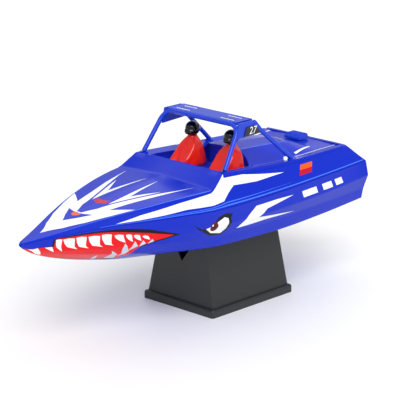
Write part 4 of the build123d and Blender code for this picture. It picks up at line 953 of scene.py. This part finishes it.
def helmet_shape():
    """A full-face helmet: one surface with a chin bar, a brow and a narrow neck."""
    shell = bmesh.new()
    rows, count = 30, 48
    rings = []
    for i in range(rows + 1):
        up = math.radians(-62 + 152 * i / rows)
        ring = []
        for k in range(count):
            turn = 2 * math.pi * k / count
            ahead = max(0.0, math.cos(turn))
            radius = 4.25
            low = max(0.0, -math.sin(up))
            radius += 1.0 * ahead ** 3 * math.exp(-((up + 0.42) / 0.3) ** 2)
            slot = math.exp(-((up - 0.12) / 0.2) ** 4) * (1 if abs(math.sin(turn / 2)) < 0.62 else 0)
            radius -= 0.28 * slot
            ring.append(shell.verts.new((
                radius * math.cos(up) * math.cos(turn) * 1.05 + 0.3 * low,
                radius * math.cos(up) * math.sin(turn) * 0.93,
                radius * math.sin(up) * 0.98,
            )))
        rings.append(ring)
    lofted(shell, rings, pole=True)
    return shell


def placed(shell, centre, name, finish):
    """A shape in millimetres about its own middle, moved to its place in the boat."""
    for vert in shell.verts:
        vert.co += Vector(centre)
    return solid(shell, name, [finish])


def visor_shape():
    """The visor: a curved slice over the helmet's opening, closed all round."""
    shell = bmesh.new()
    outer, inner = [], []
    across, tall = 22, 8
    for layer, target in ((4.16, outer), (3.7, inner)):
        for i in range(tall + 1):
            up = math.radians(-5 + 26 * i / tall)
            row = []
            for k in range(across + 1):
                turn = math.radians(-66 + 132 * k / across)
                row.append(shell.verts.new((
                    layer * math.cos(up) * math.cos(turn) * 1.05,
                    layer * math.cos(up) * math.sin(turn) * 0.93,
                    layer * math.sin(up) * 0.98,
                )))
            target.append(row)
    for i in range(tall):
        for k in range(across):
            for grid in (outer, inner):
                shell.faces.new((grid[i][k], grid[i][k + 1], grid[i + 1][k + 1], grid[i + 1][k]))
    for i in range(tall):
        for k in (0, across):
            shell.faces.new((outer[i][k], outer[i + 1][k], inner[i + 1][k], inner[i][k]))
    for k in range(across):
        for i in (0, tall):
            shell.faces.new((outer[i][k], outer[i][k + 1], inner[i][k + 1], inner[i][k]))
    return shell


# ---------------------------------------------------------------- race numbers

def race_number(text, finish, side):
    """Raised digits on a gusset's plate, as a closed mesh."""
    curve = bpy.data.curves.new("digits", "FONT")
    curve.body = text
    curve.size = 5.6 * MM
    curve.extrude = 0.06 * MM
    curve.align_x = "CENTER"
    curve.align_y = "CENTER"
    curve.shear = 0.2
    temp = bpy.data.objects.new("digits", curve)
    bpy.context.scene.collection.objects.link(temp)
    bpy.context.view_layer.update()
    mesh = bpy.data.meshes.new_from_object(temp.evaluated_get(bpy.context.evaluated_depsgraph_get()))
    bpy.data.objects.remove(temp)
    low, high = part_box("number_plates")
    middle = (low + high) / 2
    face = high.y + 0.01 * MM
    turn = Matrix.Rotation(math.radians(90), 4, "X")
    if side > 0:
        turn = Matrix.Rotation(math.radians(180), 4, "Z") @ turn
    mesh.transform(Matrix.Translation((middle.x, side * face, middle.z)) @ turn)
    mesh.materials.clear()
    mesh.materials.append(finish)
    return mesh


# ---------------------------------------------------------------- settings

class JetBoatSettings(bpy.types.PropertyGroup):
    """Sizes and colours that a user may change before building."""

    hull_blue: bpy.props.FloatVectorProperty(
        name="Hull blue", description="Colour of the shells", subtype="COLOR", size=3, min=0, max=1,
        default=rgb(9, 42, 192)[:3],
    )
    suit_red: bpy.props.FloatVectorProperty(
        name="Suit red", description="Colour of the drivers' suits", subtype="COLOR", size=3, min=0, max=1,
        default=rgb(246, 34, 20)[:3],
    )
    cage_blue: bpy.props.FloatVectorProperty(
        name="Cage blue", description="Colour of the cage, the roof and the latch", subtype="COLOR", size=3,
        min=0, max=1, default=rgb(22, 62, 205)[:3],
    )
    race_digits: bpy.props.StringProperty(
        name="Race number", description="Plain digits on the cage's side plates", default="27",
    )
    floor_size: bpy.props.FloatProperty(
        name="Floor size", description="Half the width of the studio floor", default=6.0, min=1.0,
        unit="LENGTH",
    )


def settings():
    return bpy.context.scene.jet_boat


class JETBOAT_OT_shells(bpy.types.Operator):
    """Build the painted hull, deck and canopy"""

    bl_idname = "jetboat.shells"
    bl_label = "Shells"

    def execute(self, context):
        paints = paint_finishes(settings())
        hull_skin(paints).build("boat", "hull", "hull_paint")
        for mesh in transom_plates(paints):
            finished(mesh, mesh.name, "boat")
        deck_skin(paints).build("boat", "deck", "hull_paint")
        canopy_skin(paints).build("canopy", "canopy", "hull_paint")
        finished(cockpit_well(paints), "cockpit_well", "canopy")
        return {"FINISHED"}


class JETBOAT_OT_drivers(bpy.types.Operator):
    """Build both drivers with their helmets and visors"""

    bl_idname = "jetboat.drivers"
    bl_label = "Drivers"

    def execute(self, context):
        suit = finish_of("Suit red", tuple(settings().suit_red) + (1.0,), rough=0.2, grain=1400.0, bump=0.12,
                         coat=0.2, vary=0.08)
        black = finish_of("Helmet black", rgb(9, 8, 8), rough=0.06, grain=1200.0, bump=0.02, glint=0.6)
        smoke = finish_of("Visor smoke", rgb(5, 5, 7), rough=0.05, grain=900.0, bump=0.01, glint=0.5)
        for side, word in ((1, "port"), (-1, "starboard")):
            centre = (DRIVER_X, side * DRIVER_Y, HELMET_HEIGHT)
            body = driver_body(side, suit)
            finished(body, word + "_suit", "canopy", word + "_driver_suit")
            helmet = placed(helmet_shape(), centre, word + "_helmet", black)
            finished(helmet, word + "_helmet", "canopy", word + "_driver_helmet")
            visor = placed(visor_shape(), centre, word + "_visor", smoke)
            finished(visor, word + "_visor", "canopy", word + "_helmet_visor")
        return {"FINISHED"}


def latch_block():
    """The latch's thumb block with finger ridges, its stem and its tongue, as one moulding."""
    low, high, half, length = 45.5, 48.5, 5.6, 8.2
    x0 = 20.0 - length / 2
    profile = [(x0, low), (x0, high - 0.9), (x0 + 0.9, high)]
    for ridge in range(4):
        x = x0 + 1.7 + 1.25 * ridge
        profile += [(x, high), (x + 0.25, high - 0.4), (x + 0.75, high - 0.4), (x + 1.0, high)]
    profile += [(x0 + length - 1.6, high), (x0 + length, high - 1.8), (x0 + length, low)]
    shell = plate(profile, [], 2 * half, lambda x, z, depth: Vector((x, depth - half, z)))
    upper = [v for v in shell.verts if v.co.z > low + 1.5]
    for vert in upper:
        vert.co.y *= 0.9
    stem = [(18.6, -1.4), (21.4, -1.4), (21.4, 1.4), (18.6, 1.4)]
    box_low = 43.4
    for outline, base, rise in ((stem, box_low, low + 0.2 - box_low), (
        [(12.2, -3), (22, -3), (22, 3), (12.2, 3)], box_low - 1.1, 1.1,
    )):
        piece = plate(outline, [], rise, lambda u, v, depth, z=base: Vector((u, v, z + depth)))
        mesh = bpy.data.meshes.new("part")
        piece.to_mesh(mesh)
        piece.free()
        shell.from_mesh(mesh)
        bpy.data.meshes.remove(mesh)
    return solid(shell, "latch", [])


class JETBOAT_OT_fittings(bpy.types.Operator):
    """Build the cage's side plates, the roof's slot lines, the latch and the jet's screw heads"""

    bl_idname = "jetboat.fittings"
    bl_label = "Fittings"

    def execute(self, context):
        cage = finish_of("Cage plates", tuple(settings().cage_blue) + (1.0,), rough=0.28, grain=1000.0,
                         bump=0.05, glint=0.35)
        white = finish_of("Slot white", rgb(246, 247, 250), rough=0.4, grain=1200.0, bump=0.03)
        for side, word in ((1, "port"), (-1, "starboard")):
            outline = [(98.6, 72.2), (85.6, 72.2), (84.6, 71.4), (78.6, 64.9), (100.6, 63.8)]
            shell = plate(outline, [], 1.0, lambda x, z, depth, k=side: Vector((x, k * (27.95 - depth), z)))
            mesh = solid(shell, word + "_cage_plate", [cage], smooth=False)
            piece = finished(mesh, mesh.name, "canopy", None)
            if side > 0:
                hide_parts("cage_gussets")
        bar_outline = [(0, 0), (0.8, 0), (0.8, 9.8), (0, 9.8)]
        bar = plate(bar_outline, [], 0.3, lambda u, v, depth: Vector((u, v, -depth)))
        spots = [
            (TRANSOM + x * MM, y * MM, KEEL + 72.6 * MM) for x in (88.85, 94.85) for y in (11.6, -21.4)
        ]
        lines = repeated("roof_slot_lines", bar, spots, white)
        finished(lines, "roof_slot_lines", "canopy")
        low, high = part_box("flange_screws")
        steel = finish_of("Screw steel", rgb(196, 199, 204), rough=0.24, metal=1.0, bump=0.1,
                          streak=(1, 12, 12))
        reach, height = high.y / MM - SCREW_Y, 1.3
        spots = [
            (low.x + height * MM, y * MM, KEEL + z * MM) for y in (-SCREW_Y, SCREW_Y) for z in SCREW_HEIGHTS
        ]
        heads = repeated("flange_screw_heads", screw_head(reach, height), spots, steel)
        finished(heads, "flange_screw_heads", "boat", "flange_screws")
        latch = latch_block()
        latch.materials.append(cage)
        finished(latch, "latch_block", "latch", "hatch_latch")
        return {"FINISHED"}


class JETBOAT_OT_numbers(bpy.types.Operator):
    """Put the race number on both side plates"""

    bl_idname = "jetboat.numbers"
    bl_label = "Race numbers"

    def execute(self, context):
        white = finish_of("Number white", rgb(244, 245, 247), rough=0.4, grain=1500.0, bump=0.03)
        for side, word in ((1, "port"), (-1, "starboard")):
            mesh = race_number(settings().race_digits, white, side)
            finished(mesh, word + "_number", "canopy")
        return {"FINISHED"}


class JETBOAT_OT_finishes(bpy.types.Operator):
    """Give every fitting its finish"""

    bl_idname = "jetboat.finishes"
    bl_label = "Finishes"

    def execute(self, context):
        cage = tuple(settings().cage_blue) + (1.0,)
        looks = {
            "stand_plastic": dict(colour=rgb(34, 36, 37), rough=0.42, grain=1500.0, bump=0.25, vary=0.12),
            "hull_paint": dict(colour=rgb(30, 58, 205), rough=0.22, coat=0.6),
            "blue_plastic": dict(colour=cage, rough=0.24, grain=1000.0, bump=0.05, glint=0.4),
            "black_plastic": dict(colour=rgb(24, 24, 26), rough=0.38, grain=1300.0, bump=0.12),
            "suit_red": dict(colour=rgb(226, 66, 34), rough=0.34),
            "helmet_black": dict(colour=rgb(16, 16, 18), rough=0.1, coat=0.9),
            "visor": dict(colour=rgb(8, 9, 12), rough=0.05, coat=1.0),
            "foam": dict(colour=rgb(42, 42, 44), rough=0.9, grain=1800.0, bump=0.8, vary=0.3),
            "foam_white": dict(colour=rgb(232, 232, 228), rough=0.85, grain=1500.0, bump=0.7, vary=0.05),
            "steel": dict(colour=rgb(186, 190, 196), rough=0.24, metal=1.0, bump=0.1, streak=(1, 12, 12)),
            "brass": dict(colour=rgb(206, 168, 92), rough=0.26, metal=1.0, bump=0.08, streak=(12, 1, 1)),
            "motor_steel": dict(colour=rgb(150, 152, 158), rough=0.34, metal=1.0, bump=0.15,
                                streak=(12, 1, 1)),
            "servo_plastic": dict(colour=rgb(30, 46, 120), rough=0.4, bump=0.1),
            "rubber": dict(colour=rgb(20, 20, 20), rough=0.75, grain=1600.0, bump=0.35, vary=0.2),
            "unit_case": dict(colour=rgb(40, 42, 48), rough=0.45, bump=0.15),
            "battery_wrap": dict(colour=rgb(28, 60, 140), rough=0.2, coat=0.5, bump=0.3, grain=160.0),
            "strap_fabric": dict(colour=rgb(26, 26, 28), rough=0.9, weave=900.0, bump=0.9, sheen=0.4),
            "lead_red": dict(colour=rgb(190, 20, 22), rough=0.45, bump=0.1),
            "lead_black": dict(colour=rgb(18, 18, 19), rough=0.45, bump=0.1),
            "plug_red": dict(colour=rgb(176, 22, 24), rough=0.4, bump=0.1),
            "tube_plastic": dict(colour=rgb(220, 224, 226), rough=0.3, bump=0.05),
            "aluminium": dict(colour=rgb(196, 199, 204), rough=0.32, metal=1.0, bump=0.12, streak=(1, 10, 1)),
            "horn_white": dict(colour=rgb(234, 234, 230), rough=0.4, bump=0.08),
        }
        made = {name: finish_of("Finish " + name, **look) for name, look in looks.items()}
        for part in frame["record"]["subparts"]:
            node = frame["nodes"].get(part["node"])
            finish = made[part["material_slot"]]
            node.data.materials.clear()
            node.data.materials.append(finish)
        return {"FINISHED"}


class JETBOAT_OT_stage(bpy.types.Operator):
    """Build the studio: floor, lights and camera"""

    bl_idname = "jetboat.stage"
    bl_label = "Stage"

    def execute(self, context):
        scene = context.scene
        size = settings().floor_size
        floor = bpy.data.meshes.new("floor")
        floor.from_pydata([(-size, -size, 0), (size, -size, 0), (size, size, 0), (-size, size, 0)], [],
                          [(0, 1, 2, 3)])
        floor.materials.append(finish_of("Studio floor", rgb(250, 250, 251), rough=0.5, grain=40.0, bump=0.0,
                                         vary=0.005))
        ground = bpy.data.objects.new("floor", floor)
        scene.collection.objects.link(ground)
        world = bpy.data.worlds.new("Studio") if scene.world is None else scene.world
        scene.world = world
        world.use_nodes = True
        world.node_tree.nodes["Background"].inputs["Color"].default_value = (1, 1, 1, 1)
        world.node_tree.nodes["Background"].inputs["Strength"].default_value = 0.45
        for name, source, power, spread in (
            ("key", (0.5, 0.7, 0.85), 2.25, 45),
            ("fill", (-0.6, -0.2, 0.9), 0.9, 80),
        ):
            lamp = bpy.data.lights.new(name, "SUN")
            lamp.energy = power
            lamp.angle = math.radians(spread)
            light = bpy.data.objects.new(name, lamp)
            light.rotation_euler = (-Vector(source)).to_track_quat("-Z", "Y").to_euler()
            scene.collection.objects.link(light)
        scene.view_settings.view_transform = "Standard"
        lens = bpy.data.cameras.new("camera")
        lens.lens = 180.2
        lens.sensor_width = 36.0
        lens.clip_start = 0.01
        lens.clip_end = 50.0
        lens.dof.use_dof = False
        camera = bpy.data.objects.new("camera", lens)
        scene.collection.objects.link(camera)
        azimuth, elevation, distance = math.radians(43.82), math.radians(16.04), 1.09287
        target = Vector((-0.00774, 0.0, 0.05789))
        back = Vector((
            math.cos(azimuth) * math.cos(elevation),
            math.sin(azimuth) * math.cos(elevation),
            math.sin(elevation),
        ))
        camera.location = target + back * distance
        camera.rotation_euler = (-back).to_track_quat("-Z", "Y").to_euler()
        scene.camera = camera
        return {"FINISHED"}


class JETBOAT_PT_panel(bpy.types.Panel):
    """The boat's pieces, in building order"""

    bl_idname = "JETBOAT_PT_panel"
    bl_label = "Jet Boat"
    bl_space_type = "VIEW_3D"
    bl_region_type = "UI"
    bl_category = "Jet Boat"

    def draw(self, context):
        for name in JetBoatSettings.__annotations__:
            self.layout.prop(context.scene.jet_boat, name)
        for operator in OPERATORS:
            self.layout.operator(operator.bl_idname)


OPERATORS = (
    JETBOAT_OT_finishes, JETBOAT_OT_shells, JETBOAT_OT_drivers, JETBOAT_OT_fittings,
    JETBOAT_OT_numbers, JETBOAT_OT_stage,
)
CLASSES = (JetBoatSettings,) + OPERATORS + (JETBOAT_PT_panel,)


def register():
    for each in CLASSES:
        bpy.utils.register_class(each)
    bpy.types.Scene.jet_boat = bpy.props.PointerProperty(type=JetBoatSettings)


def unregister():
    del bpy.types.Scene.jet_boat
    for each in reversed(CLASSES):
        bpy.utils.unregister_class(each)


def main():
    """Build everything in order."""
    register()
    bpy.ops.jetboat.finishes()
    bpy.ops.jetboat.shells()
    bpy.ops.jetboat.drivers()
    bpy.ops.jetboat.fittings()
    bpy.ops.jetboat.numbers()
    bpy.ops.jetboat.stage()


if __name__ == "__main__":
    main()
